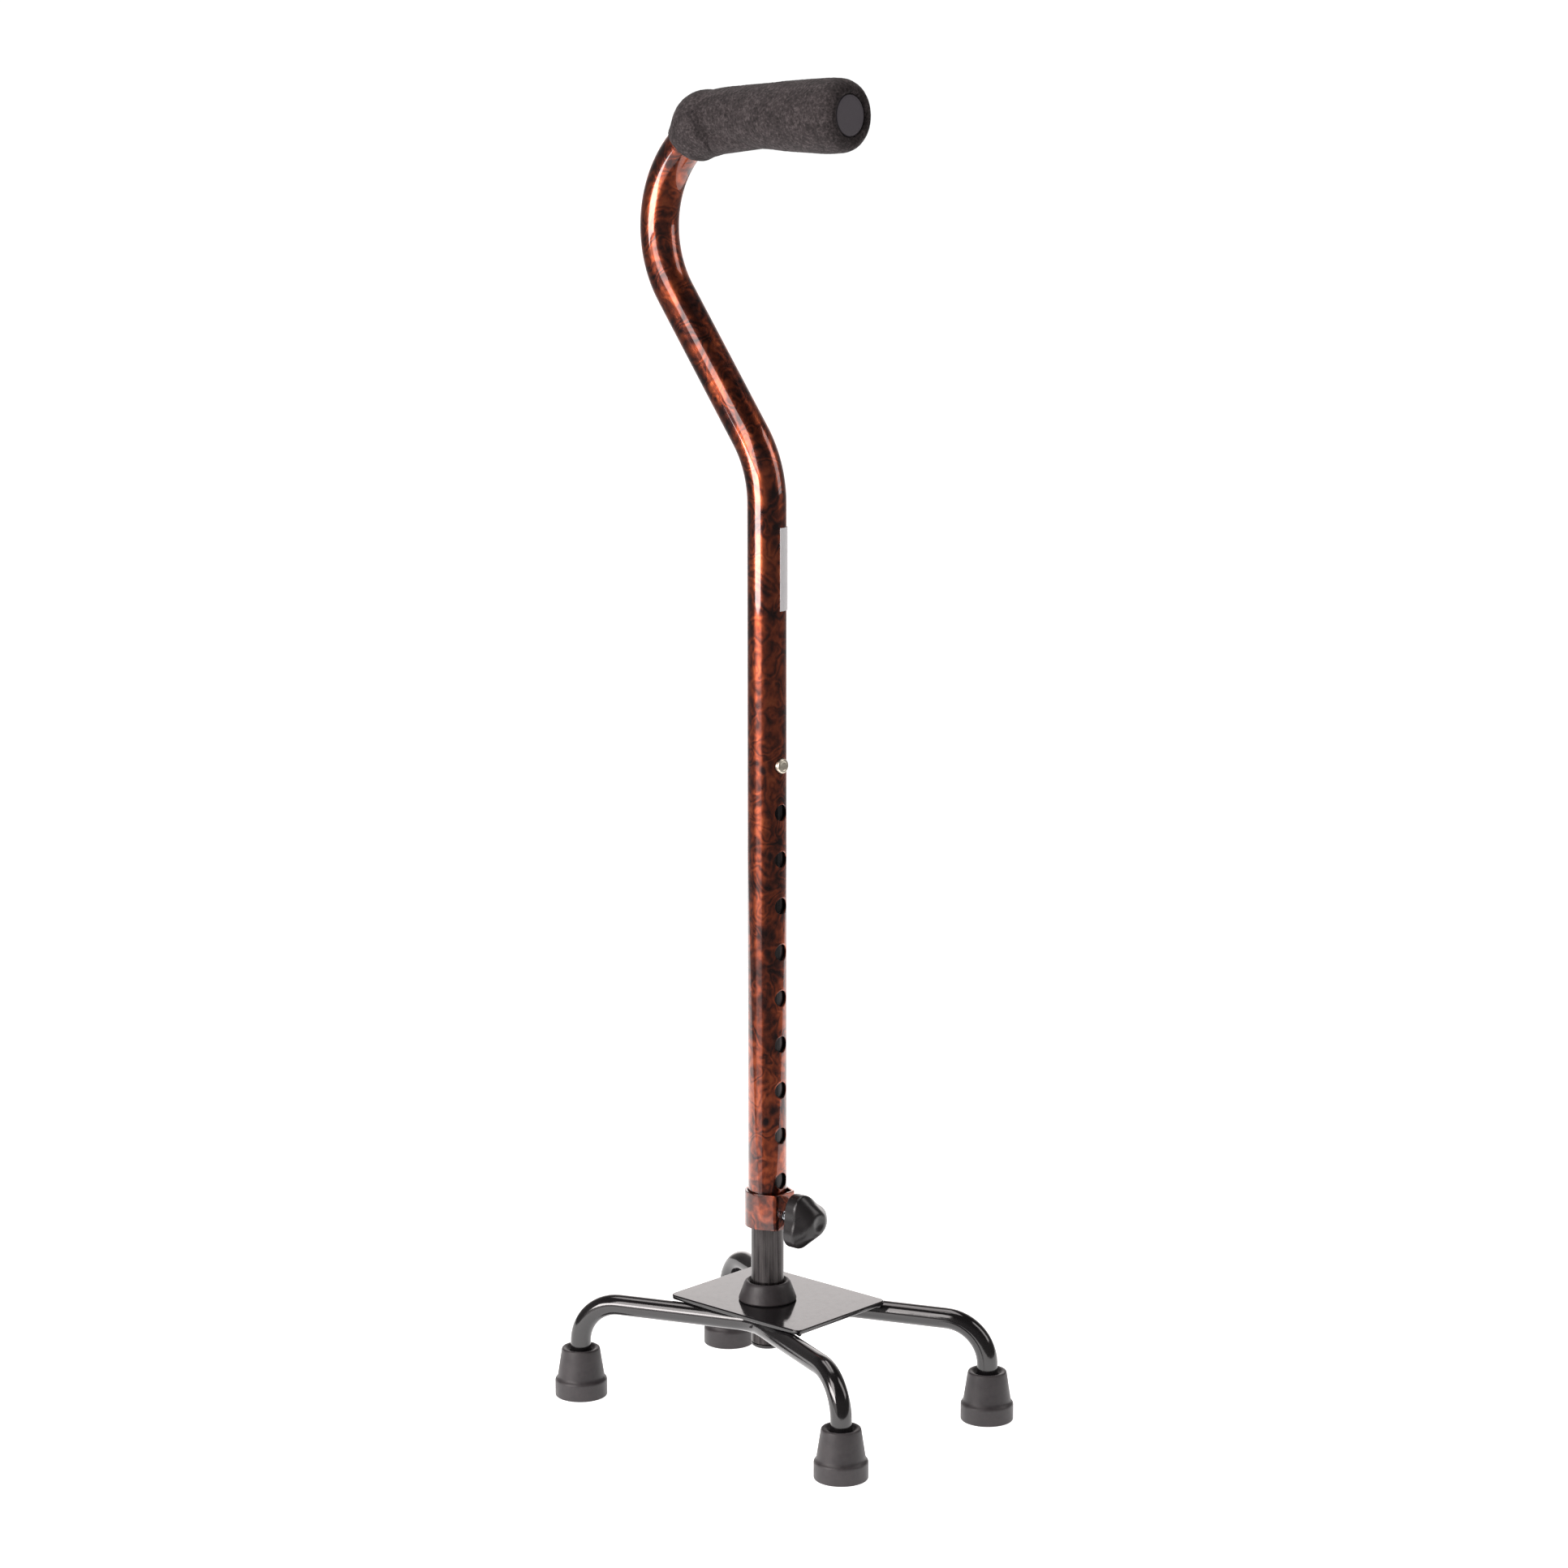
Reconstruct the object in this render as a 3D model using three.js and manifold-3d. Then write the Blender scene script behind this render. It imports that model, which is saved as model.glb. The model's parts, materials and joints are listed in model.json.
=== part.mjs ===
// Quad walking cane: an offset handle tube that slides and swivels on a post with a four-footed base.
//
// Millimetres, +Z up. The origin is on the ground, at the centre of the four feet.
// +X is forward, the way the handle points, and +Y is to the left.

import * as THREE from "three";
import { mergeVertices } from "three/addons/utils/BufferGeometryUtils.js";
import Module from "manifold-3d";

const { degToRad } = THREE.MathUtils;

// ---- Fits and facets
const GAP = 0.3; // left between two pieces that touch
const TUBE_SIDES = 24; // facets round a tube
const SMALL_SIDES = 16; // facets round a hole, a screw or a leg tube
const TURN_STEP = degToRad(15); // the most that one facet of a bend turns
const MERGE_DISTANCE = 1e-4;

// ---- Post: the inner tube, which stands a little off the centre of the feet
const POST_X = -3.7;
const POST_Y = -8.1;
const POST_RADIUS = 9.1;
const POST_BORE = 7.7;
const POST_BOTTOM = 40;
const POST_TOP = 393;
const POST_PLUG_FLANGE = 2.5;
const POST_PLUG_DEPTH = 14;

// ---- Feet and legs
const FOOT_X = 97.95; // from the centre to a foot, along the cane's own X
const FOOT_Y = 61.5;
const FOOT_HEIGHT = 28;
const FOOT_TREAD_RADIUS = 14.7;
const FOOT_TREAD_HEIGHT = 10.5;
const FOOT_WAIST_RADIUS = 13.3;
const FOOT_TOP_RADIUS = 10.8;
const FOOT_FLOOR = 7; // solid rubber under the socket
const WASHER_THICKNESS = 1.5;
const LEG_RADIUS = 5.8;
const LEG_BORE = 4.5;
const LEG_AXIS_HEIGHT = 55.5;
const LEG_VERTEX_Y = 22.6; // where the two straight arms of a leg tube would meet
const LEG_VERTEX_BEND = 25;
const LEG_DOWN_BEND = 24;

// ---- Plate that the post and the two leg tubes are welded to
const PLATE_LENGTH = 97.4;
const PLATE_WIDTH = 73.9;
const PLATE_THICKNESS = 2.5;
const PLATE_TOP = 64.1;
const PLATE_X = -1.6;
const PLATE_Y = -2;
const PLATE_CORNER = 4.5;
const LEG_WELD_RADIUS = 1.2;
const LEG_WELD_LENGTH = 13;
const LEG_WELD_OFFSET = 6; // sideways from the leg's axis
const LEG_WELD_ALONG = 38; // from the leg tube's vertex to the middle of a weld

// ---- Rubber boot round the foot of the post, over the weld
const BOOT_HEIGHT = 10.9;
const BOOT_BOTTOM_RADIUS = 16.2;
const BOOT_TOP_RADIUS = 12.9;
const POST_WELD_SIZE = 2.4;

// ---- Snap button and its spring, inside the post
const BUTTON_RADIUS = 4.1;
const BUTTON_FLANGE_RADIUS = 4.9;
const BUTTON_FLANGE_BACK = 4.5; // distances forward of the post's axis
const BUTTON_FLANGE_FRONT = 5.5;
const BUTTON_TIP = 12.3;
const BUTTON_BEVEL = 1.1;
const SPRING_WIDTH = 8;
const SPRING_THICKNESS = 0.8;
const SPRING_FRONT = 3.8; // middle of the front arm, forward of the post's axis
const SPRING_BACK = -5.9;
const SPRING_ABOVE = 10; // arm above the button
const SPRING_BELOW = 36; // arm below the button, down to its U bend

// ---- Guide plug in the post's top, which the handle tube slides and swivels on
const GUIDE_FLANGE_RADIUS = 8.9;
const GUIDE_FLANGE_THICKNESS = 3;
const GUIDE_STEM = 14;

// ---- Handle tube
const TUBE_RADIUS = 10.8;
const TUBE_BORE = 9.5;
const TUBE_BOTTOM = 109;
const NECK_START = 509.3; // height where the tube first bends
const NECK_BEND = 60;
const NECK_ANGLE = degToRad(36.6);
const NECK_LENGTH = 92.6;
const BACK_BEND = 59;
const HANDLE_RISE = degToRad(1); // the handle points this far above level
const HANDLE_LENGTH = 77.3;

// ---- Height holes, about an inch apart, through both sides of the handle tube
const HOLE_RADIUS = 4.4;
const HOLE_COUNT = 10;
const HOLE_PITCH = 25.9;
const HOLE_LOWEST = 134.4;
const HOLE_HIGHEST = HOLE_LOWEST + (HOLE_COUNT - 1) * HOLE_PITCH;

// ---- Collar strap round the bottom of the handle tube, with the locking screw and its knob
const COLLAR_BOTTOM = 107.5;
const COLLAR_TOP = 127.7;
const COLLAR_BORE = 11.1;
const COLLAR_THICKNESS = 1.6;
const COLLAR_NOSE = 13.75; // from the post's axis to the flat nose
const COLLAR_NOSE_HALF = 7.75;
const SCREW_HEIGHT = 114.9;
const SCREW_RADIUS = 2.9;
const SCREW_TIP = 9.45;
const SCREW_END = 31.5;
const SCREW_CHAMFER = 0.6;
const KNOB_BACK = 21.5;
const KNOB_FRONT = 38.5;
const KNOB_MEAN_RADIUS = 13.9;
const KNOB_LOBE = 2.2; // a lobe stands this far outside the mean radius
const KNOB_LOBES = 3;
const KNOB_TURNED = degToRad(-8);
const KNOB_HUB_RADIUS = 6.5;
const KNOB_HUB_LENGTH = 1.5;
const KNOB_WALL = 6.6; // the straight side, between the skirt and the sloping front
const KNOB_SIDES = 36;

// ---- Grip and the plug in the end of the handle tube
const GRIP_LENGTH = 121.2;
const GRIP_BORE = TUBE_RADIUS + GAP;
const GRIP_OVERHANG = 3.3; // the grip reaches this far past the end of the tube
const PLUG_RADIUS = 10.8;
const PLUG_HEAD = 1.8;
const PLUG_STEM = 12;

// ---- Paper label round the tube
const LABEL_BOTTOM = 452;
const LABEL_TOP = 497;
const LABEL_INNER = 10.95;
const LABEL_OUTER = 11.2;
const LABEL_START = degToRad(-7);
const LABEL_END = degToRad(123);
const LABEL_SIDES = 9;

const manifold = await Module();
manifold.setup();

// ---- Helpers

// A solid of revolution about Z, from [radius, height] pairs that run upwards on its outside.
function turned(profile, sides = TUBE_SIDES) {
  const points = profile.map(([radius, height]) => new THREE.Vector2(radius, height));
  return new THREE.LatheGeometry(points, sides).rotateX(Math.PI / 2);
}

// A ring: the outside's [radius, height] pairs upwards, then the inside's downwards.
function turnedRing(outside, inside, sides = TUBE_SIDES) {
  return turned([...outside, ...inside, outside[0]], sides);
}

function pipe(outerRadius, innerRadius, bottom, top, sides = TUBE_SIDES) {
  const outside = [[outerRadius, bottom], [outerRadius, top]];
  const inside = [[innerRadius, top], [innerRadius, bottom]];
  return turnedRing(outside, inside, sides);
}

// Turns a geometry built along +Z so that it runs along +X.
function alongX(geometry) {
  return geometry.rotateY(Math.PI / 2);
}

function solidOf(geometry) {
  const bare = geometry.clone();
  bare.deleteAttribute("normal");
  bare.deleteAttribute("uv");
  const merged = mergeVertices(bare, MERGE_DISTANCE);
  const mesh = new manifold.Mesh({
    numProp: 3,
    vertProperties: merged.getAttribute("position").array,
    triVerts: new Uint32Array(merged.index.array),
  });
  return new manifold.Manifold(mesh);
}

function geometryOf(solid) {
  const mesh = solid.getMesh();
  const geometry = new THREE.BufferGeometry();
  geometry.setAttribute("position", new THREE.BufferAttribute(mesh.vertProperties, 3));
  geometry.setIndex(new THREE.BufferAttribute(mesh.triVerts, 1));
  geometry.computeVertexNormals();
  return geometry;
}

// The geometry with each of the cutters taken out of it.
function cut(geometry, cutters) {
  const left = cutters.reduce((solid, cutter) => solid.subtract(solidOf(cutter)), solidOf(geometry));
  return geometryOf(left);
}

// A round bar along X from one distance to another, at a height, for cutting a cross hole.
function crossBar(radius, from, to, height) {
  const bar = new THREE.CylinderGeometry(radius, radius, to - from, SMALL_SIDES);
  return bar.rotateZ(Math.PI / 2).translate((from + to) / 2, 0, height);
}

// A centreline of straight runs and round bends. A frame's X is its side, its Y its up and its Z its heading.
class Centreline {
  constructor(origin, up, heading) {
    const side = new THREE.Vector3().crossVectors(up, heading);
    this.runs = [];
    this.length = 0;
    this.end = new THREE.Matrix4().makeBasis(side, up, heading).setPosition(origin);
  }

  addRun(length, steps, move) {
    const start = this.end;
    const frameAt = (distance) => start.clone().multiply(move(distance));
    this.runs.push({ from: this.length, length, steps, frameAt });
    this.length += length;
    this.end = frameAt(length);
    return this;
  }

  straight(length) {
    return this.addRun(length, 1, (distance) => new THREE.Matrix4().makeTranslation(0, 0, distance));
  }

  // Turns about a line through centre, a point in the frame's own axes.
  bend(radius, angle, centre, rotation) {
    const length = radius * Math.abs(angle);
    return this.addRun(length, Math.ceil(Math.abs(angle) / TURN_STEP), (distance) => {
      const out = new THREE.Matrix4().makeTranslation(...centre.toArray());
      const back = new THREE.Matrix4().makeTranslation(...centre.clone().negate().toArray());
      return out.multiply(rotation((angle * distance) / length)).multiply(back);
    });
  }

  // Bends away from up for a positive angle.
  pitch(radius, angle) {
    const centre = new THREE.Vector3(0, -radius * Math.sign(angle), 0);
    return this.bend(radius, angle, centre, (turn) => new THREE.Matrix4().makeRotationX(turn));
  }

  // Bends towards the side for a positive angle.
  yaw(radius, angle) {
    const centre = new THREE.Vector3(radius * Math.sign(angle), 0, 0);
    return this.bend(radius, angle, centre, (turn) => new THREE.Matrix4().makeRotationY(turn));
  }

  frameAt(distance) {
    const run = this.runs.findLast(({ from }) => distance >= from) ?? this.runs[0];
    return run.frameAt(distance - run.from);
  }

  // The distances where a tube along the line needs a ring of its own.
  stations(from = 0, to = this.length) {
    const inside = this.runs.flatMap((run) =>
      Array.from({ length: run.steps }, (_, step) => run.from + (run.length * step) / run.steps),
    );
    return [from, ...inside.filter((distance) => distance > from + GAP && distance < to - GAP), to];
  }
}

// Bends a solid of revolution, whose height is the distance along the line, round that line.
function bentAlong(geometry, line) {
  const position = geometry.getAttribute("position");
  const point = new THREE.Vector3();
  for (let i = 0; i < position.count; i += 1) {
    point.fromBufferAttribute(position, i);
    const frame = line.frameAt(point.z);
    point.setZ(0).applyMatrix4(frame);
    position.setXYZ(i, point.x, point.y, point.z);
  }
  geometry.computeVertexNormals();
  return geometry;
}

function bentTube(line, outerRadius, innerRadius, sides) {
  const stations = line.stations();
  const outside = stations.map((distance) => [outerRadius, distance]);
  const inside = stations.toReversed().map((distance) => [innerRadius, distance]);
  return bentAlong(turnedRing(outside, inside, sides), line);
}

function finish(colour, roughness, metalness) {
  return new THREE.MeshStandardMaterial({ color: colour, roughness, metalness });
}

const FINISHES = {
  bronze: finish(0x7a3b28, 0.22, 0.35),
  blackPaint: finish(0x151415, 0.12, 0.2),
  gunmetal: finish(0x4f4a4c, 0.38, 0.8),
  rubber: finish(0x454143, 0.82, 0),
  foam: finish(0x4a4346, 0.95, 0),
  blackPlastic: finish(0x242224, 0.35, 0),
  greyPlastic: finish(0x5d565e, 0.55, 0),
  nylon: finish(0xd9d4c8, 0.5, 0),
  zinc: finish(0xc4c7cc, 0.3, 1),
  springSteel: finish(0x8c8f94, 0.35, 1),
  nickel: finish(0xb9a98a, 0.25, 1),
  paper: finish(0xf2f0ee, 0.7, 0),
};

function addPiece(group, name, geometry, material) {
  const mesh = new THREE.Mesh(geometry, material);
  mesh.name = name;
  group.add(mesh);
  return mesh;
}

// ---- Base: feet, legs, plate and post

const PLATE_BOTTOM = PLATE_TOP - PLATE_THICKNESS;
const FOOT_SOCKET = LEG_RADIUS + GAP;

function footGeometry() {
  const rim = 1.6;
  return turned([
    [0, 0],
    [FOOT_TREAD_RADIUS - 0.8, 0],
    [FOOT_TREAD_RADIUS, 0.8],
    [FOOT_TREAD_RADIUS, FOOT_TREAD_HEIGHT],
    [FOOT_WAIST_RADIUS, FOOT_TREAD_HEIGHT + 0.6],
    [FOOT_TOP_RADIUS, FOOT_HEIGHT - rim],
    [FOOT_TOP_RADIUS - rim / 3, FOOT_HEIGHT - rim / 3],
    [FOOT_TOP_RADIUS - rim, FOOT_HEIGHT],
    [FOOT_SOCKET, FOOT_HEIGHT],
    [FOOT_SOCKET, FOOT_FLOOR],
    [0, FOOT_FLOOR],
  ]);
}

function washerGeometry() {
  const bottom = FOOT_FLOOR + GAP;
  return turned([[0, bottom], [LEG_RADIUS, bottom], [LEG_RADIUS, bottom + WASHER_THICKNESS],
    [0, bottom + WASHER_THICKNESS]], SMALL_SIDES);
}

// The right-hand leg tube, from the back foot up, along under the plate, and down to the front foot.
function legLine() {
  const arm = new THREE.Vector3(FOOT_X, FOOT_Y - LEG_VERTEX_Y, 0);
  const armAngle = Math.atan2(arm.y, arm.x);
  const legEnd = FOOT_FLOOR + WASHER_THICKNESS + 2 * GAP;
  const riser = LEG_AXIS_HEIGHT - LEG_DOWN_BEND - legEnd;
  const straight = arm.length() - LEG_DOWN_BEND - LEG_VERTEX_BEND * Math.tan(armAngle);
  const foot = new THREE.Vector3(-FOOT_X, -FOOT_Y, legEnd);
  return new Centreline(foot, arm.normalize().negate(), new THREE.Vector3(0, 0, 1))
    .straight(riser)
    .pitch(LEG_DOWN_BEND, Math.PI / 2)
    .straight(straight)
    .yaw(LEG_VERTEX_BEND, -2 * armAngle)
    .straight(straight)
    .pitch(LEG_DOWN_BEND, Math.PI / 2)
    .straight(riser);
}

// A short bead in the corner between a leg's arm and the plate, on the arm's inner side.
function legWeldGeometry(line, along) {
  const half = LEG_WELD_LENGTH / 2;
  const bead = turned([
    [0, -half],
    [LEG_WELD_RADIUS * 0.7, -half + 0.4],
    [LEG_WELD_RADIUS, -half + 1.4],
    [LEG_WELD_RADIUS, half - 1.4],
    [LEG_WELD_RADIUS * 0.7, half - 0.4],
    [0, half],
  ], SMALL_SIDES / 2);
  const up = PLATE_BOTTOM - GAP - LEG_WELD_RADIUS - LEG_AXIS_HEIGHT;
  bead.translate(LEG_WELD_OFFSET, up, 0);
  return bead.applyMatrix4(line.frameAt(line.length / 2 + along));
}

function plateGeometry() {
  const x = PLATE_LENGTH / 2 - PLATE_CORNER;
  const y = PLATE_WIDTH / 2 - PLATE_CORNER;
  const quarter = Math.PI / 2;
  const outline = new THREE.Shape();
  outline.absarc(x, y, PLATE_CORNER, 0, quarter);
  outline.absarc(-x, y, PLATE_CORNER, quarter, 2 * quarter);
  outline.absarc(-x, -y, PLATE_CORNER, 2 * quarter, 3 * quarter);
  outline.absarc(x, -y, PLATE_CORNER, 3 * quarter, 4 * quarter);
  outline.closePath();
  const hole = new THREE.Path();
  hole.absarc(POST_X - PLATE_X, POST_Y - PLATE_Y, POST_RADIUS + GAP, 0, 4 * quarter);
  outline.holes.push(new THREE.Path(hole.getPoints(TUBE_SIDES / 2)));
  const plate = new THREE.ExtrudeGeometry(outline, {
    depth: PLATE_THICKNESS,
    bevelEnabled: false,
    curveSegments: 6,
  });
  return plate.translate(PLATE_X, PLATE_Y, PLATE_BOTTOM);
}

function postGeometry() {
  const hole = crossBar(HOLE_RADIUS, 0, TUBE_RADIUS, HOLE_HIGHEST);
  return cut(pipe(POST_RADIUS, POST_BORE, POST_BOTTOM, POST_TOP), [hole]);
}

function postPlugGeometry() {
  const top = POST_BOTTOM - GAP;
  return turned([
    [0, top - POST_PLUG_FLANGE],
    [POST_RADIUS - 0.8, top - POST_PLUG_FLANGE],
    [POST_RADIUS, top - POST_PLUG_FLANGE + 0.8],
    [POST_RADIUS, top],
    [POST_BORE - GAP, top],
    [POST_BORE - GAP, top + POST_PLUG_DEPTH],
    [0, top + POST_PLUG_DEPTH],
  ]);
}

function postWeldGeometry() {
  const inner = POST_RADIUS + GAP;
  const bottom = PLATE_TOP + GAP;
  return turnedRing([[inner + POST_WELD_SIZE, bottom]], [[inner, bottom + POST_WELD_SIZE], [inner, bottom]]);
}

function bootGeometry() {
  const bottom = PLATE_TOP + GAP;
  const top = bottom + BOOT_HEIGHT;
  const bore = POST_RADIUS + GAP;
  const recess = bore + POST_WELD_SIZE + GAP;
  const recessTop = bottom + POST_WELD_SIZE + 2 * GAP;
  const outside = [
    [BOOT_BOTTOM_RADIUS, bottom],
    [BOOT_TOP_RADIUS, top - 1.6],
    [BOOT_TOP_RADIUS - 0.5, top - 0.5],
    [BOOT_TOP_RADIUS - 1.4, top],
  ];
  const inside = [[bore, top], [bore, recessTop + 1], [recess, recessTop], [recess, bottom]];
  return turnedRing(outside, inside);
}

// ---- Snap button, spring and guide, in the post's own frame

function buttonGeometry() {
  return alongX(turned([
    [0, BUTTON_FLANGE_BACK],
    [BUTTON_FLANGE_RADIUS, BUTTON_FLANGE_BACK],
    [BUTTON_FLANGE_RADIUS, BUTTON_FLANGE_FRONT],
    [BUTTON_RADIUS, BUTTON_FLANGE_FRONT],
    [BUTTON_RADIUS, BUTTON_TIP - BUTTON_BEVEL],
    [BUTTON_RADIUS - BUTTON_BEVEL, BUTTON_TIP - BUTTON_BEVEL / 4],
    [BUTTON_RADIUS / 2, BUTTON_TIP],
    [0, BUTTON_TIP],
  ], SMALL_SIDES)).translate(0, 0, HOLE_HIGHEST);
}

// A strip bent into a U that holds the button out against the post.
function springGeometry() {
  const radius = (SPRING_FRONT - SPRING_BACK) / 2;
  const arm = SPRING_ABOVE + SPRING_BELOW;
  const top = new THREE.Vector3(SPRING_FRONT, 0, HOLE_HIGHEST + SPRING_ABOVE);
  const line = new Centreline(top, new THREE.Vector3(1, 0, 0), new THREE.Vector3(0, 0, -1))
    .straight(arm)
    .pitch(radius, Math.PI)
    .straight(arm);
  const edge = (offset) => line.stations().map((distance) => {
    const point = new THREE.Vector3(0, offset, 0).applyMatrix4(line.frameAt(distance));
    return new THREE.Vector2(point.x, point.z);
  });
  const outline = new THREE.Shape([
    ...edge(SPRING_THICKNESS / 2),
    ...edge(-SPRING_THICKNESS / 2).toReversed(),
  ]);
  const strip = new THREE.ExtrudeGeometry(outline, { depth: SPRING_WIDTH, bevelEnabled: false });
  return strip.rotateX(Math.PI / 2).translate(0, SPRING_WIDTH / 2, 0);
}

function guideGeometry() {
  const bottom = POST_TOP + GAP;
  const top = bottom + GUIDE_FLANGE_THICKNESS;
  const stem = POST_BORE - GAP;
  return turned([
    [0, bottom - GUIDE_STEM],
    [stem - 1, bottom - GUIDE_STEM],
    [stem, bottom - GUIDE_STEM + 1],
    [stem, bottom],
    [GUIDE_FLANGE_RADIUS, bottom],
    [GUIDE_FLANGE_RADIUS, top - 1],
    [GUIDE_FLANGE_RADIUS - 1, top],
    [0, top],
  ]);
}

// ---- Handle: tube, grip, plug, label and collar, in the post's own frame

const handleLine = new Centreline(
  new THREE.Vector3(0, 0, TUBE_BOTTOM), new THREE.Vector3(-1, 0, 0), new THREE.Vector3(0, 0, 1),
)
  .straight(NECK_START - TUBE_BOTTOM)
  .pitch(NECK_BEND, -NECK_ANGLE)
  .straight(NECK_LENGTH)
  .pitch(BACK_BEND, Math.PI / 2 + NECK_ANGLE - HANDLE_RISE)
  .straight(HANDLE_LENGTH);

function upperTubeGeometry() {
  const reach = 2 * TUBE_RADIUS;
  const holes = Array.from({ length: HOLE_COUNT }, (_, i) =>
    crossBar(HOLE_RADIUS, -reach, reach, HOLE_LOWEST + i * HOLE_PITCH),
  );
  const screwHole = crossBar(SCREW_RADIUS + GAP, 0, reach, SCREW_HEIGHT);
  return cut(bentTube(handleLine, TUBE_RADIUS, TUBE_BORE, TUBE_SIDES), [...holes, screwHole]);
}

// The grip's outer radius along its length: a bulb at the back, a waist, and a swell to the front.
const GRIP_PROFILE = [
  [11.9, 0],
  [13.4, 2],
  [15.4, 6],
  [17.4, 10],
  [18.9, 14],
  [19.4, 19],
  [19.1, 24],
  [18, 28.5],
  [17, 34],
  [16.8, 41],
  [17.1, 49],
  [19.2, 84],
  [20, 104],
  [19.9, 112],
  [19.5, 116],
  [18.4, 119],
  [16.8, 120.4],
  [14.5, GRIP_LENGTH],
];

function gripGeometry() {
  const start = handleLine.length + GRIP_OVERHANG - GRIP_LENGTH;
  const outside = GRIP_PROFILE.map(([radius, along]) => [radius, start + along]);
  const stations = handleLine.stations(start, start + GRIP_LENGTH);
  const inside = stations.toReversed().map((distance) => [GRIP_BORE, distance]);
  return bentAlong(turnedRing(outside, inside), handleLine);
}

function handlePlugGeometry() {
  const stem = TUBE_BORE - GAP;
  const plug = turned([
    [0, -PLUG_STEM],
    [stem - 1, -PLUG_STEM],
    [stem, 1 - PLUG_STEM],
    [stem, GAP],
    [PLUG_RADIUS, GAP],
    [PLUG_RADIUS, GAP + PLUG_HEAD / 2],
    [PLUG_RADIUS - 1, GAP + PLUG_HEAD],
    [0, GAP + PLUG_HEAD],
  ]);
  return plug.applyMatrix4(handleLine.end);
}

function labelGeometry() {
  const outline = new THREE.Shape();
  outline.absarc(0, 0, LABEL_OUTER, LABEL_START, LABEL_END, false);
  outline.absarc(0, 0, LABEL_INNER, LABEL_END, LABEL_START, true);
  outline.closePath();
  const label = new THREE.ExtrudeGeometry(outline, {
    depth: LABEL_TOP - LABEL_BOTTOM,
    bevelEnabled: false,
    curveSegments: LABEL_SIDES,
  });
  return label.translate(0, 0, LABEL_BOTTOM);
}

// A strap's outline: round at the back, with straight sides that run to the corners of its flat nose.
function collarOutline(radius, nose, noseHalf) {
  const cornerAngle = Math.atan2(noseHalf, nose);
  const tangent = cornerAngle + Math.acos(radius / Math.hypot(nose, noseHalf));
  const outline = new THREE.Path();
  outline.moveTo(nose, -noseHalf);
  outline.lineTo(nose, noseHalf);
  outline.absarc(0, 0, radius, tangent, 2 * Math.PI - tangent, false);
  outline.closePath();
  return outline.getPoints(TUBE_SIDES);
}

function collarGeometry() {
  const outer = COLLAR_BORE + COLLAR_THICKNESS;
  const strap = new THREE.Shape(collarOutline(outer, COLLAR_NOSE, COLLAR_NOSE_HALF));
  const innerHalf = COLLAR_NOSE_HALF - COLLAR_THICKNESS * 0.8;
  const bore = collarOutline(COLLAR_BORE, COLLAR_NOSE - COLLAR_THICKNESS, innerHalf);
  strap.holes.push(new THREE.Path(bore.toReversed()));
  const collar = new THREE.ExtrudeGeometry(strap, {
    depth: COLLAR_TOP - COLLAR_BOTTOM,
    bevelEnabled: false,
  });
  collar.translate(0, 0, COLLAR_BOTTOM);
  return cut(collar, [crossBar(SCREW_RADIUS + GAP, 0, 2 * COLLAR_NOSE, SCREW_HEIGHT)]);
}

// ---- Locking screw and knob, in the post's own frame

function screwGeometry() {
  return alongX(turned([
    [0, SCREW_TIP],
    [SCREW_RADIUS - SCREW_CHAMFER, SCREW_TIP],
    [SCREW_RADIUS, SCREW_TIP + SCREW_CHAMFER],
    [SCREW_RADIUS, SCREW_END],
    [0, SCREW_END],
  ], SMALL_SIDES)).translate(0, 0, SCREW_HEIGHT);
}

// Three lobes, drawn out of a round knob by how far each point stands from the bore.
function knobGeometry() {
  const bore = SCREW_RADIUS + GAP;
  const skirt = KNOB_BACK + KNOB_HUB_LENGTH;
  const knob = turned([
    [0, SCREW_END + GAP],
    [bore, SCREW_END + GAP],
    [bore, KNOB_BACK],
    [KNOB_HUB_RADIUS, KNOB_BACK],
    [KNOB_HUB_RADIUS, skirt],
    [KNOB_MEAN_RADIUS - 0.8, skirt],
    [KNOB_MEAN_RADIUS, skirt + 0.6],
    [KNOB_MEAN_RADIUS, skirt + KNOB_WALL],
    [KNOB_MEAN_RADIUS - 0.9, skirt + KNOB_WALL + 1.4],
    [KNOB_MEAN_RADIUS - 4.2, KNOB_FRONT - 2.6],
    [KNOB_HUB_RADIUS + 0.8, KNOB_FRONT - 0.7],
    [KNOB_HUB_RADIUS - 1, KNOB_FRONT],
    [0, KNOB_FRONT - 0.6],
  ], KNOB_SIDES);
  const position = knob.getAttribute("position");
  for (let i = 0; i < position.count; i += 1) {
    const x = position.getX(i);
    const y = position.getY(i);
    const radius = Math.hypot(x, y);
    const share = Math.max(0, (radius - KNOB_HUB_RADIUS) / (KNOB_MEAN_RADIUS - KNOB_HUB_RADIUS));
    const lobe = KNOB_LOBE * Math.cos(KNOB_LOBES * (Math.atan2(-x, y) - KNOB_TURNED)) * share;
    const scale = radius > 0 ? (radius + lobe) / radius : 1;
    position.setXY(i, x * scale, y * scale);
  }
  knob.computeVertexNormals();
  return alongX(knob).translate(0, 0, SCREW_HEIGHT);
}

// ---- Assembly

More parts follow.
